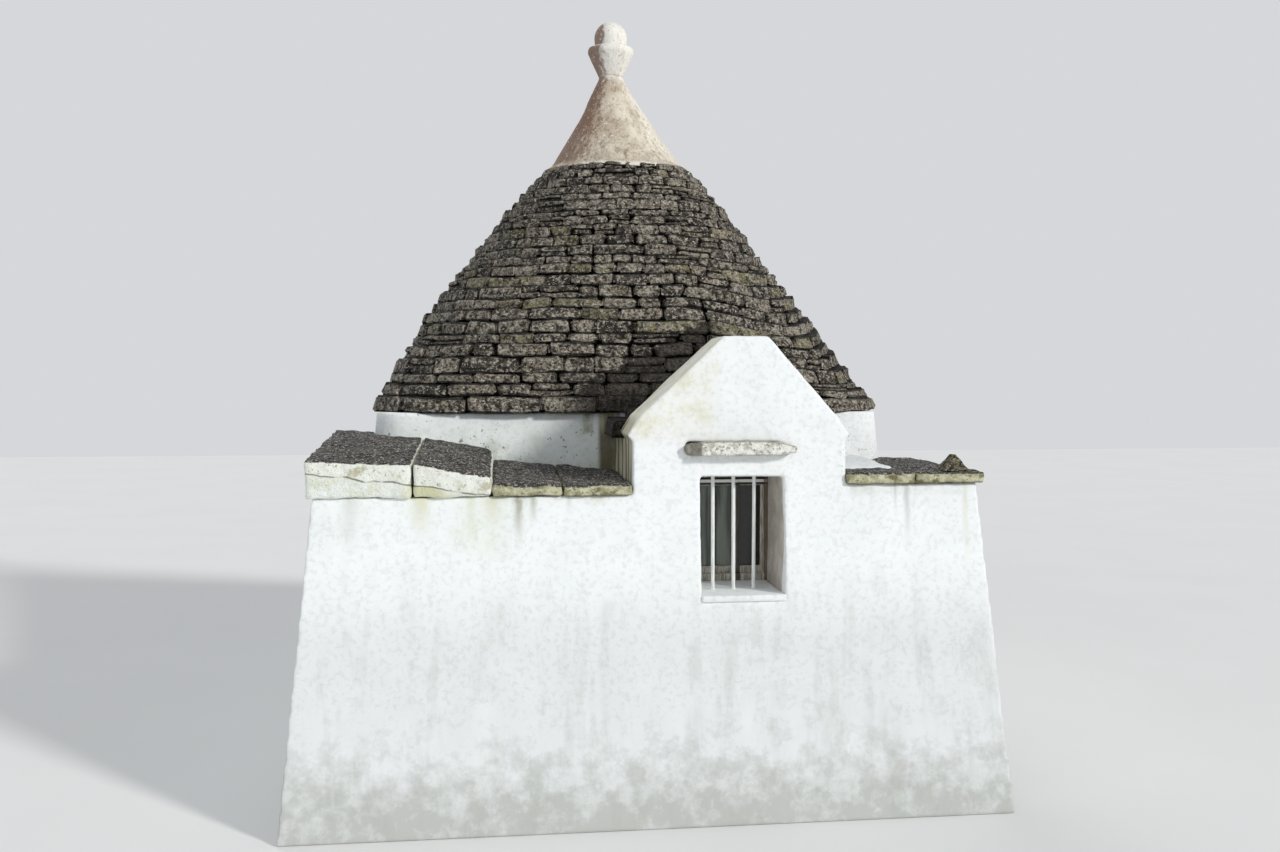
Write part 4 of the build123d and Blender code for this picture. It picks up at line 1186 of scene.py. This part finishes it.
@dataclass
class StoneCone:
    """The dry stone roof: slabs laid in courses on the cone's outline."""

    shape: ConeShape
    pattern: SlabPattern
    lumps: Lumps
    depth: float = 0.185
    joint: float = 0.010
    long_eave: tuple[float, float] = (0.26, 0.62)
    long_low: tuple[float, float] = (0.16, 0.46)
    long_high: tuple[float, float] = (0.10, 0.26)
    rim: float = 0.013
    slant: tuple[float, float] = (0.10, 0.40)
    uneven: float = 0.18
    sway: float = 0.012
    split: float = 0.17
    droop: float = 0.100
    droop_rest: float = 0.018
    mossy: tuple[int, ...] = (0, 6, 8, 10, 11, 15, 19)
    drip_course: int = 6
    drip_ends: tuple[float, float, float] = (0.02, 0.53, 0.98)
    drip_out: float = 0.034
    seed: int = 41

    def joints(self, ring: Ring, share: float, below: np.ndarray, rng: np.random.Generator) -> np.ndarray:
        """Chooses where the upright joints of a course stand.

        Args:
            ring: The course's outline.
            share: How far up the cone it lies.
            below: Joints of the course below, as shares of its length.
            rng: Source of the lengths.

        Returns:
            Joints as shares of the ring's length, in order.
        """
        low = self.long_low[0] + (self.long_high[0] - self.long_low[0]) * share
        high = self.long_low[1] + (self.long_high[1] - self.long_low[1]) * share
        if share == 0:
            low, high = self.long_eave
        spots, run = [], rng.uniform(0, low)
        while run < ring.length - 0.5 * low:
            spots.append(run / ring.length)
            best = 0.0
            for length in low + (high - low) * rng.beta(1.4, 2.2, 6):
                place = ((run + length) / ring.length) % 1.0
                clear = np.min(np.abs(below - place)) * ring.length if len(below) else 1.0
                if clear > best:
                    best, chosen = clear, length
                if clear > 0.045:
                    break
            run += chosen
        return np.array(spots)

    def drip(self, ring: Ring, spots: np.ndarray) -> np.ndarray:
        """Sets the two long slabs that shed the rain over the ridge of the bay's roof."""
        flat = 2 * (ring.half - ring.corner)
        ends = (np.array(self.drip_ends) - ring.shift + flat / 2) / ring.length
        clear = 0.1 / ring.length
        kept = spots[(spots < ends[0] - clear) | (spots > ends[-1] + clear)]
        return np.sort(np.concatenate([kept, ends]))

    def sag(self, points: np.ndarray) -> np.ndarray:
        """How far the courses droop towards the corners of the eave."""
        share = (points[:, 2] - self.shape.eave_z) / self.shape.rise
        corner = np.minimum(np.abs(points[:, 0]), np.abs(points[:, 1])) / np.maximum(
            np.hypot(points[:, 0], points[:, 1]), 0.1) * math.sqrt(2)
        droop = np.where((points[:, 0] > 0) & (points[:, 1] < 0), self.droop, self.droop_rest)
        wave = self.sway * self.lumps.at(points * (1, 1, 0.6), 0.55) * ramp(share, 0.0, 0.12)
        return droop * ramp(corner, 0.3, 1.0) * ramp(share, 0.0, 0.2) * (1 - ramp(share, 0.3, 0.75)) + wave

    def beds(self, rng: np.random.Generator) -> np.ndarray:
        """Gives the heights of the beds, with thicker and thinner courses."""
        levels = np.array([self.shape.level(index) for index in range(self.shape.courses + 1)])
        levels[1:-1] += rng.uniform(-1, 1, len(levels) - 2) * self.uneven * np.diff(levels)[:-1]
        return levels

    def build(self) -> list[bpy.types.Object]:
        """Lays every course and makes one piece a tier."""
        rng = np.random.default_rng(self.seed)
        tiers, below, beds = [], np.array([]), self.beds(rng)
        for tier in range(4):
            work = SlabWork(self.pattern)
            for index in range(tier * 6, tier * 6 + 6):
                bed, top = beds[index], beds[index + 1]
                share = index / self.shape.courses
                ring = self.shape.ring(bed)
                spots = self.joints(ring, share, below, rng)
                if index == self.drip_course:
                    spots = self.drip(ring, spots)
                below = spots
                ends = np.append(spots, spots[0] + 1.0) * ring.length
                for start, end in zip(ends[:-1], ends[1:]):
                    thin = rng.random() < self.split and index not in (0, self.drip_course)
                    middle = bed + (top - bed) * rng.uniform(0.38, 0.62)
                    for low, high in ((bed, middle), (middle, top)) if thin else ((bed, top),):
                        self.lay(work, ring, start, end, low, high, index, rng)
            tiers.append(work.piece(f"roof_slabs_{tier + 1}", self.lumps))
        return tiers

    def lay(self, work: SlabWork, ring: Ring, start: float, end: float, bed: float, top: float,
            index: int, rng: np.random.Generator) -> None:
        """Lays one slab of a course.

        Args:
            work: Where the slab goes.
            ring: The course's outline.
            start: Where the slab starts along the ring.
            end: Where it ends.
            bed: Height of its bed.
            top: Height of its top.
            index: Number of the course.
            rng: Source of the small differences.
        """
        gap = self.joint * rng.uniform(0.4, 1.4) + (rng.uniform(0.008, 0.022) if rng.random() < 0.14 else 0.0)
        length, height = end - start - gap, top - bed - 0.003
        rim = self.rim * rng.uniform(0.7, 1.35) * (0.8 + 0.4 * (1 - index / 24))
        rim = min(rim, 0.28 * length)
        points, near = self.pattern.shaped(length, height, self.depth, rim, rng)
        out = rng.normal(0, 0.005) + (0.012 if rng.random() < 0.05 else 0.0)
        if index == 0:
            out = rng.uniform(-0.012, 0.006)
        hue = 0.02 if rng.random() < (0.4 if index in self.mossy else 0.03) else rng.uniform(0.1, 1.0)
        if index == self.drip_course and length > 0.44 and start < 2 * ring.half:
            out, hue = self.drip_out, 0.02
        middle, slant = (start + end) / 2, rng.uniform(*self.slant)
        plan, normal = ring.at(middle + points[:, 0])
        inward = points[:, 1] - out + slant * (points[:, 2] + height / 2) - slant * height / 2
        x = plan[:, 0] - normal[:, 0] * inward
        y = plan[:, 1] - normal[:, 1] * inward
        z = points[:, 2] + (bed + top) / 2
        placed = np.stack([x, y, z], 1)
        placed[:, 2] -= self.sag(placed)
        work.add(placed, near, float(np.clip(rng.normal(0.5, 0.27), 0, 1)), hue)


# Stones that are worked from the frame's solids


@dataclass
class RoughStones:
    """Stones that follow solids of the frame, with broken edges and uneven faces."""

    frame: dict
    lumps: Lumps

    def build(self, node: str, name: str, voxel: float, passes: int,
              layers: Sequence[tuple[float, float]]) -> bpy.types.Object:
        """Works each solid of a node into a rough stone.

        Args:
            node: The node's name.
            name: The new piece's name.
            voxel: Size of the mesh.
            passes: How often it is smoothed.
            layers: Lump sizes and heights.

        Returns:
            The piece that stands for the node.
        """
        stones = loose_parts(copy_nodes(self.frame, [node], name))
        for stone in stones:
            skin(stone, voxel, passes)
            roughen(stone, self.lumps, layers)
        piece = join(stones, name)
        smooth(piece)
        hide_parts(node)
        return piece


@dataclass
class Hood:
    """The slab over the window, highest at its middle, with a slanting left end."""

    lumps: Lumps
    along: tuple[float, ...] = (0.0, 0.04, 0.3, 0.5, 0.7, 0.83, 0.92, 1.0)
    top: tuple[float, ...] = (0.058, 0.069, 0.078, 0.081, 0.079, 0.071, 0.060, 0.043)
    bottom: tuple[float, ...] = (0.004, 0.0, 0.0, 0.0, 0.0, 0.001, 0.004, 0.012)
    slant: float = 0.085
    slant_depth: float = 0.045

    def build(self) -> bpy.types.Object:
        """Shapes a cut block to the slab's outline and cuts its left end back."""
        low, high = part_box("hood_slab")
        deselect()
        bpy.ops.mesh.primitive_cube_add(size=2, location=(0, 0, 0))
        stone = bpy.context.object
        stone.name = stone.data.name = "hood_stone"
        bpy.ops.object.mode_set(mode="EDIT")
        bpy.ops.mesh.select_all(action="SELECT")
        bpy.ops.mesh.subdivide(number_cuts=24)
        bpy.ops.object.mode_set(mode="OBJECT")
        across, deep, up = ((places(stone) + 1) / 2).T
        floor, roof = np.interp(across, self.along, self.bottom), np.interp(across, self.along, self.top)
        x = low.x + (high.x - low.x) * across
        y = low.y + (high.y - low.y) * deep
        y += self.slant_depth * (1 - deep) * (1 - ramp(x, low.x + 0.2 * self.slant, low.x + self.slant))
        set_places(stone, np.stack([x, y, low.z + floor + (roof - floor) * up], 1))
        skin(stone, 0.006, 2)
        roughen(stone, self.lumps, ((0.11, 0.005), (0.045, 0.004), (0.02, 0.0025)))
        finish_mesh(stone)
        smooth(stone)
        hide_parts("hood_slab")
        return stone


@dataclass
class Masonry:
    """The whitewashed walls, as soft-edged rubble masonry under limewash."""

    frame: dict
    lumps: Lumps
    front: tuple[str, ...] = (
        "front_wall_left", "front_wall_right", "bay_pier_left", "bay_pier_right", "window_breast_wall",
        "bay_ceiling", "bay_lintel", "gable_front", "upper_wall_front_left", "upper_wall_front_right",
    )
    rear: tuple[str, ...] = (
        "left_side_wall", "right_side_wall", "back_wall_left", "back_wall_right",
        "upper_wall_left", "upper_wall_right", "upper_wall_back",
    )
    lapped: tuple[str, ...] = ("left_side_wall", "right_side_wall", "upper_wall_left", "upper_wall_right")
    lap: float = 0.045
    most: int = 185000

    def build(self) -> list[bpy.types.Object]:
        """Makes the front and the rear masonry."""
        pieces = []
        for name, nodes, voxel in (("front_masonry", self.front, 0.0125), ("rear_masonry", self.rear, 0.028)):
            piece = copy_nodes(self.frame, nodes, name)
            if nodes is self.rear:
                self.run_in(piece)
            skin(piece, voxel, 1)
            roughen(piece, self.lumps, ((0.42, 0.006), (0.15, 0.0035), (0.05, 0.0012)), floor_kept)
            modify(piece, "DECIMATE", ratio=min(1.0, self.most / (2 * len(piece.data.polygons))))
            smooth(piece)
            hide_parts(*nodes)
            pieces.append(piece)
        return pieces

    def run_in(self, piece: bpy.types.Object) -> None:
        """Runs the side walls a little way into the front ones, so that no groove shows between them."""
        points = places(piece)
        for node in self.lapped:
            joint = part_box(node)[0].y
            points[np.abs(points[:, 1] - joint) < 0.001, 1] -= self.lap
        set_places(piece, points)


@dataclass
class SaddleRoof:
    """Small slabs on the roof behind the gable."""

    frame: dict
    pattern: SlabPattern
    lumps: Lumps
    rows: int = 5
    seed: int = 7

    def build(self) -> bpy.types.Object:
        """Lays rows of slabs up both slopes."""
        rng = np.random.default_rng(self.seed)
        work = SlabWork(self.pattern)
        for side, node in ((-1, "bay_roof_left"), (1, "bay_roof_right")):
            low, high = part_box(node)
            eave, ridge = (low.x, high.x) if side < 0 else (high.x, low.x)
            rise, front = high.z - low.z, low.y
            for row in range(self.rows):
                share = row / self.rows
                x = eave + (ridge - eave) * share
                z = low.z + 0.004 + (rise - 0.06) * share
                run = front + 0.004
                while run < high.y + 0.25:
                    length = rng.uniform(0.16, 0.3)
                    self.lay(work, side, x, run, length, z, rise / self.rows + 0.012, rng)
                    run += length
        return work.piece("bay_roof_slabs", self.lumps)

    def lay(self, work: SlabWork, side: int, x: float, run: float, length: float, z: float,
            height: float, rng: np.random.Generator) -> None:
        """Lays one slab whose front looks to one side."""
        points, near = self.pattern.shaped(length - 0.006, height, 0.24, 0.012, rng)
        out = rng.normal(0, 0.004) - 0.2 * points[:, 2]
        placed = np.stack([x + side * (out - points[:, 1]), run + length / 2 + side * points[:, 0],
                           z + points[:, 2] + height / 2], 1)
        work.add(placed, near, float(np.clip(rng.normal(0.4, 0.2), 0, 1)), rng.random())


@dataclass
class LedgeFill:
    """A whitewashed mortar fillet that slopes from the upper wall down to the ledge slabs."""

    lumps: Lumps
    name: str
    x_ends: tuple[float, float]
    front: float
    back: float
    bed: float
    rise_ends: tuple[float, float]

    def build(self) -> bpy.types.Object:
        """Shapes a cut block into the sloping fill."""
        deselect()
        bpy.ops.mesh.primitive_cube_add(size=2, location=(0, 0, 0))
        piece = bpy.context.object
        piece.name = piece.data.name = self.name
        bpy.ops.object.mode_set(mode="EDIT")
        bpy.ops.mesh.select_all(action="SELECT")
        bpy.ops.mesh.subdivide(number_cuts=22)
        bpy.ops.object.mode_set(mode="OBJECT")
        points = places(piece)
        right, deep, up = ((points + 1) / 2).T
        lean = 0.5 + 0.5 * self.lumps.at(np.stack([right * 9, deep * 0, up * 0], 1), 1.0)
        rise = (self.rise_ends[0] + (self.rise_ends[1] - self.rise_ends[0]) * right) * (0.85 + 0.3 * lean)
        y = self.front + (self.back - self.front) * deep
        top = self.bed + 0.016 * ramp(deep, 0.0, 0.06) + rise * deep**1.6
        z = self.bed - 0.02 + (top - self.bed + 0.02) * up
        x = self.x_ends[0] + (self.x_ends[1] - self.x_ends[0]) * right
        set_places(piece, np.stack([x, y, z], 1))
        roughen(piece, self.lumps, ((0.09, 0.006), (0.04, 0.004)))
        finish_mesh(piece)
        smooth(piece, 60)
        return piece


@dataclass
class Cap:
    """The leaning plaster cap, the cup and the ball."""

    frame: dict
    lumps: Lumps
    sides: int = 128
    rows: int = 56
    neck: float = 0.092
    hollow: float = 1.15
    lean: tuple[float, float] = (0.055, 0.005)
    skirt: float = 0.034
    flare: float = 0.046
    lip: float = 0.046

    def build(self) -> list[bpy.types.Object]:
        """Makes the cap and the pinnacle."""
        low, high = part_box("plaster_cap")
        deselect()
        bpy.ops.mesh.primitive_cylinder_add(vertices=self.sides, radius=1, depth=2, end_fill_type="TRIFAN")
        cap = bpy.context.object
        cap.name = cap.data.name = "cap_plaster"
        bpy.ops.object.mode_set(mode="EDIT")
        for row in range(1, self.rows):
            bpy.ops.mesh.select_all(action="SELECT")
            bpy.ops.mesh.bisect(plane_co=(0, 0, -1 + 2 * row / self.rows), plane_no=(0, 0, 1))
        bpy.ops.object.mode_set(mode="OBJECT")
        points = places(cap)
        share = (points[:, 2] + 1) / 2
        angle = np.arctan2(points[:, 1], points[:, 0])
        centre = np.hypot(points[:, 0], points[:, 1]) < 0.5
        around = np.stack([np.cos(angle), np.sin(angle), np.zeros(len(angle))], 1)
        hem = low.z - self.skirt * (0.45 + 0.55 * self.lumps.mixed(around, ((0.42, 0.8), (0.13, 0.5))))
        foot = (high.x - low.x) / 2
        z = hem + (high.z - hem) * share
        true = np.clip((z - low.z) / (high.z - low.z), 0, 1)
        radius = self.neck + (foot - self.neck) * (1 - true) ** self.hollow
        radius = radius + self.flare * (1 - ramp(z, low.z - 0.01, low.z + 0.06)) + 0.004
        radius = np.where(centre, 0, radius)
        shift = self.lean[0] + (self.lean[1] - self.lean[0]) * true
        set_places(cap, np.stack([shift + radius * np.cos(angle), radius * np.sin(angle), z], 1))
        roughen(cap, self.lumps, ((0.2, 0.006), (0.07, 0.003), (0.03, 0.0012)))
        finish_mesh(cap)
        smooth(cap, 60)
        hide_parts("plaster_cap")
        pinnacle = copy_nodes(self.frame, ["pinnacle_cup", "pinnacle_ball"], "pinnacle")
        skin(pinnacle, 0.006, 1)
        self.flatten_lip(pinnacle)
        roughen(pinnacle, self.lumps, ((0.11, 0.003), (0.035, 0.0016)), lambda p: 1 - ramp(p[:, 2], 5.33, 5.37))
        smooth(pinnacle)
        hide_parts("pinnacle_cup", "pinnacle_ball")
        return [cap, pinnacle]

    def flatten_lip(self, pinnacle: bpy.types.Object) -> None:
        """Squares the round lip of the cup, whose upper face is almost flat."""
        low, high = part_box("pinnacle_cup")
        middle, outer = (low.x + high.x) / 2, (high.x - low.x) / 2
        points = places(pinnacle)
        offset = points[:, :2] - (middle, 0)
        radius = np.hypot(offset[:, 0], offset[:, 1])
        out = np.clip((radius - outer + self.lip) / self.lip, 0, 1)
        up = np.clip((points[:, 2] - high.z + self.lip) / self.lip, 0, 1)
        chosen = (out > 0) & (up > 0) & (points[:, 2] < high.z + 0.004)
        wide = np.where(chosen, outer - self.lip + self.lip * out**0.55, radius)
        points[:, :2] = (middle, 0) + offset * (wide / np.maximum(radius, 1e-6))[:, None]
        points[:, 2] = np.where(chosen, high.z - self.lip + self.lip * up**0.55, points[:, 2])
        set_places(pinnacle, points)


# The window


@dataclass
class Window:
    """The bars and the painted woodwork of the window."""

    frame: dict
    lumps: Lumps
    bars: int = 3
    bar_radius: float = 0.011
    bar_y: float = -2.60
    bar_shift: float = -0.024
    collar: float = 0.017
    stile: float = 0.022

    def build_bars(self) -> bpy.types.Object:
        """Sets the round bars between the sill and the head, each in a small plaster collar."""
        low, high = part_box("window_frame")
        parts = []
        for index in range(self.bars):
            x = low.x + (high.x - low.x) * (index + 1) / (self.bars + 1) + self.bar_shift
            deselect()
            bpy.ops.mesh.primitive_cylinder_add(vertices=14, radius=self.bar_radius, depth=high.z - low.z + 0.03,
                                                location=(x, self.bar_y, (low.z + high.z) / 2))
            bar = bpy.context.object
            bpy.ops.object.mode_set(mode="EDIT")
            bpy.ops.mesh.select_all(action="SELECT")
            for cut in range(1, 14):
                bpy.ops.mesh.select_all(action="SELECT")
                bpy.ops.mesh.bisect(plane_co=(0, 0, low.z + (high.z - low.z) * cut / 14), plane_no=(0, 0, 1))
            bpy.ops.object.mode_set(mode="OBJECT")
            bpy.ops.object.transform_apply(location=True, rotation=True, scale=True)
            points = places(bar)
            points[:, 0] += 0.0016 * self.lumps.at(points * (0, 0, 1) + index * 5, 0.25)
            points[:, 1] += 0.0016 * self.lumps.at(points * (0, 0, 1) + index * 9, 0.3)
            set_places(bar, points)
            parts.append(bar)
            for z in (low.z, high.z):
                bpy.ops.mesh.primitive_uv_sphere_add(segments=14, ring_count=8, radius=self.collar,
                                                     location=(x, self.bar_y, z), scale=(1, 1, 0.6))
                parts.append(bpy.context.object)
        piece = join(parts, "window_bars")
        finish_mesh(piece)
        smooth(piece, 50)
        return piece

    def build_woodwork(self) -> list[bpy.types.Object]:
        """Softens the edges of the frame, the leaves and the sill."""
        pieces = []
        for node in ("window_frame", "window_leaf_left", "window_leaf_right", "window_sill"):
            piece = copy_nodes(self.frame, [node], f"{node}_wood" if node != "window_sill" else "window_sill_wash")
            pick(piece)
            bpy.ops.object.mode_set(mode="EDIT")
            bpy.ops.mesh.select_all(action="SELECT")
            bpy.ops.mesh.dissolve_limited(angle_limit=0.02)
            bpy.ops.object.mode_set(mode="OBJECT")
            modify(piece, "BEVEL", width=0.012 if node == "window_sill" else 0.004, segments=3, limit_method="ANGLE")
            smooth(piece, 40)
            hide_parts(node)
            pieces.append(piece)
        return pieces

    def build_beads(self) -> bpy.types.Object:
        """Lays a thin bead round each pane and a cover strip over the meeting stiles."""
        parts = []
        low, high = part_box("window_glass")
        lead_low, lead_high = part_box("window_leaf_left")
        middle = lead_high.x
        panes = ((low.x, middle - self.stile), (middle + self.stile, high.x))
        front = low.y - 0.008
        for left, right in panes:
            for x, z, wide, tall in (
                ((left + right) / 2, low.z, right - left, 0.008),
                ((left + right) / 2, high.z, right - left, 0.008),
                (left, (low.z + high.z) / 2, 0.008, high.z - low.z),
                (right, (low.z + high.z) / 2, 0.008, high.z - low.z),
            ):
                parts.append(self.strip(x, front, z, wide, tall, 0.012))
        parts.append(self.strip(middle, lead_low.y - 0.004, (lead_low.z + lead_high.z) / 2, 0.026,
                                lead_high.z - lead_low.z - 0.01, 0.012))
        piece = join(parts, "window_beads")
        modify(piece, "BEVEL", width=0.002, segments=2, limit_method="ANGLE")
        finish_mesh(piece)
        smooth(piece, 40)
        return piece

    @staticmethod
    def strip(x: float, y: float, z: float, wide: float, tall: float, deep: float) -> bpy.types.Object:
        """Adds one thin strip of wood."""
        deselect()
        bpy.ops.mesh.primitive_cube_add(size=1, location=(x, y, z), scale=(wide, deep, tall))
        bpy.ops.object.transform_apply(location=True, rotation=True, scale=True)
        return bpy.context.object


# Studio


@dataclass
class Studio:
    """Floor, lamps and camera."""

    floor_reach: float = 60.0
    eye: tuple[float, float, float] = (-0.893, -9.473, 2.575)
    aim: tuple[float, float, float] = (0.24, 0.0, 2.17)
    lens: float = 33.2

    def build(self, finish: Finish) -> None:
        """Sets up everything round the house."""
        deselect()
        bpy.ops.mesh.primitive_grid_add(x_subdivisions=8, y_subdivisions=8, size=self.floor_reach,
                                        location=(0, 0, -0.002))
        floor = bpy.context.object
        floor.name = "floor"
        floor.data.materials.append(finish.material)
        floor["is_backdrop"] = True
        self.sky()
        self.sun("key", (0.74, -0.67, 0.44), 7.0, 2.10, (1.0, 0.985, 0.955))
        self.sun("fill", (-0.70, -0.70, 0.40), 50.0, 0.45, (0.95, 0.98, 1.0))
        self.sun("back", (-0.3, 0.8, 0.9), 30.0, 0.55, (1.0, 1.0, 1.0))
        data = bpy.data.cameras.new("camera")
        data.lens, data.sensor_width = self.lens, 36.0
        camera = bpy.data.objects.new("camera", data)
        camera.location = self.eye
        camera.rotation_euler = (Vector(self.aim) - Vector(self.eye)).to_track_quat("-Z", "Y").to_euler()
        bpy.context.scene.collection.objects.link(camera)
        bpy.context.scene.camera = camera
        bpy.context.scene.view_settings.view_transform = "Standard"

    def sun(self, name: str, towards: tuple[float, float, float], blur: float, strength: float,
            tint: tuple[float, float, float]) -> None:
        """Adds one far soft lamp.

        Args:
            name: The lamp's name.
            towards: Direction from the house to the lamp.
            blur: How wide it looks, in degrees.
            strength: Its strength.
            tint: Its colour.
        """
        data = bpy.data.lights.new(name, "SUN")
        data.angle, data.energy, data.color = math.radians(blur), strength, tint
        lamp = bpy.data.objects.new(name, data)
        lamp.rotation_euler = Vector(towards).to_track_quat("Z", "Y").to_euler()
        bpy.context.scene.collection.objects.link(lamp)

    @staticmethod
    def sky() -> None:
        """Lights the house softly from all round, against a plain pale background."""
        world = bpy.data.worlds.new("studio")
        bpy.context.scene.world = world
        world.use_nodes = True
        world.node_tree.nodes.clear()
        work = Tree(world.node_tree)
        path = work.add("LightPath")
        seen = work.math("MAXIMUM", path.outputs["Is Camera Ray"], path.outputs["Is Glossy Ray"])
        seen = work.math("MAXIMUM", seen, path.outputs["Is Transmission Ray"])
        soft = work.add("Background", {0: paint(236, 240, 246), 1: 0.42})
        shown = work.add("Background", {0: paint(214, 215, 218), 1: 1.0})
        mixed = work.add("MixShader", {0: seen, 1: soft.outputs[0], 2: shown.outputs[0]})
        work.add("OutputWorld", {0: mixed.outputs[0]})


class Part(Enum):
    """What a piece is made of, which chooses its finish."""

    ROOF = RoofStone
    LEDGE = LedgeStone
    TILTED = TiltedStone
    HOOD = HoodStone
    WALL = Whitewash
    CAP = Plaster
    VAULT = RoomStone
    FLOOR = FloorStone
    STEP = StepStone
    WOOD = Paint
    BARS = BarPaint
    GLASS = WindowGlass


class House:
    """The whole house: builds its sub-assemblies and dresses them."""

    def __init__(self, frame: dict, solid: Sequence[Vector]) -> None:
        """Makes the finishes and the noise that the pieces share."""
        self.frame = frame
        self.solid = [tuple(corner) for corner in solid]
        effects = Effects()
        self.finishes = {part: part.value(effects) for part in Part}
        self.ground = Ground(effects)
        self.lumps = Lumps(11)
        self.pattern = SlabPattern()

    def dress(self, part: Part, *pieces: bpy.types.Object) -> None:
        """Trims new pieces to the solid's box and gives them their finish and the body they ride on."""
        finish = self.finishes[part]
        for piece in pieces:
            set_places(piece, np.clip(places(piece), *self.solid))
            piece.data.materials.clear()
            piece.data.materials.append(finish.material)
            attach(piece, BODY)
            LOG.info("%s: %d faces, %s", piece.name, len(piece.data.polygons), finish.name)

    def dress_node(self, part: Part, *nodes: str) -> None:
        """Gives solids of the frame a better material."""
        for node in nodes:
            for slot in self.frame["nodes"][node].material_slots:
                slot.link = "OBJECT"
                slot.material = self.finishes[part].material
            LOG.info("%s: kept, %s", node, self.finishes[part].name)

    def build(self) -> None:
        """Builds the pieces in order."""
        cone = StoneCone(ConeShape(), self.pattern, self.lumps).build()
        for index, tier in enumerate(cone):
            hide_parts(f"roof_tier_{index + 1}")
        self.dress(Part.ROOF, *cone)
        saddle = SaddleRoof(self.frame, self.pattern, self.lumps).build()
        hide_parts("bay_roof_left", "bay_roof_right")
        self.dress(Part.ROOF, saddle)
        self.dress(Part.WALL, *Masonry(self.frame, self.lumps).build())
        self.build_stones()
        self.dress(Part.CAP, *Cap(self.frame, self.lumps).build())
        window = Window(self.frame, self.lumps)
        self.dress(Part.BARS, window.build_bars())
        *wood, sill = window.build_woodwork()
        self.dress(Part.WOOD, *wood, window.build_beads())
        self.dress(Part.WALL, sill)
        self.dress_node(Part.VAULT, "vault_ring_1", "vault_ring_2", "vault_ring_3", "vault_ring_4", "vault_keystone")
        self.dress_node(Part.FLOOR, "room_floor")
        self.dress_node(Part.GLASS, "window_glass")

    def build_stones(self) -> None:
        """Builds the ledge slabs, the hood, the lintel and the other single stones."""
        stones = RoughStones(self.frame, self.lumps)
        rough = ((0.11, 0.007), (0.045, 0.005), (0.02, 0.002))
        for node, voxel in (("ledge_slabs_left", 0.014), ("ledge_slabs_right", 0.014),
                            ("ledge_slabs_sides", 0.022), ("ledge_slabs_back", 0.022)):
            self.dress(Part.LEDGE, stones.build(node, f"{node}_stone", voxel, 2, rough))
        for node in ("ledge_slab_tilted", "ledge_slab_corner"):
            self.dress(Part.TILTED, stones.build(node, f"{node}_stone", 0.015, 9, rough))
        self.dress(Part.HOOD, Hood(self.lumps).build())
        self.dress(Part.HOOD, stones.build("door_lintel", "lintel_stone", 0.02, 2, ((0.12, 0.004), (0.04, 0.003))))
        self.dress(Part.STEP, stones.build("door_threshold", "threshold_stone", 0.02, 2, ((0.12, 0.003),)))
        small = ((0.05, 0.004), (0.02, 0.003))
        self.dress(Part.ROOF, stones.build("pyramid_stone", "pyramid_rough", 0.007, 2, small))
        fill = LedgeFill(self.lumps, "ledge_fill_right", (1.10, 1.52), -2.44, -1.68, 1.996, (0.035, 0.03))
        self.dress(Part.WALL, fill.build())


def main() -> None:
    """Builds the scene round the frame."""
    logging.basicConfig(level=logging.INFO, format="%(name)s %(message)s")
    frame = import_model()
    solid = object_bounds()
    house = House(frame, solid)
    house.build()
    Studio().build(house.ground)


if __name__ == "__main__":
    main()
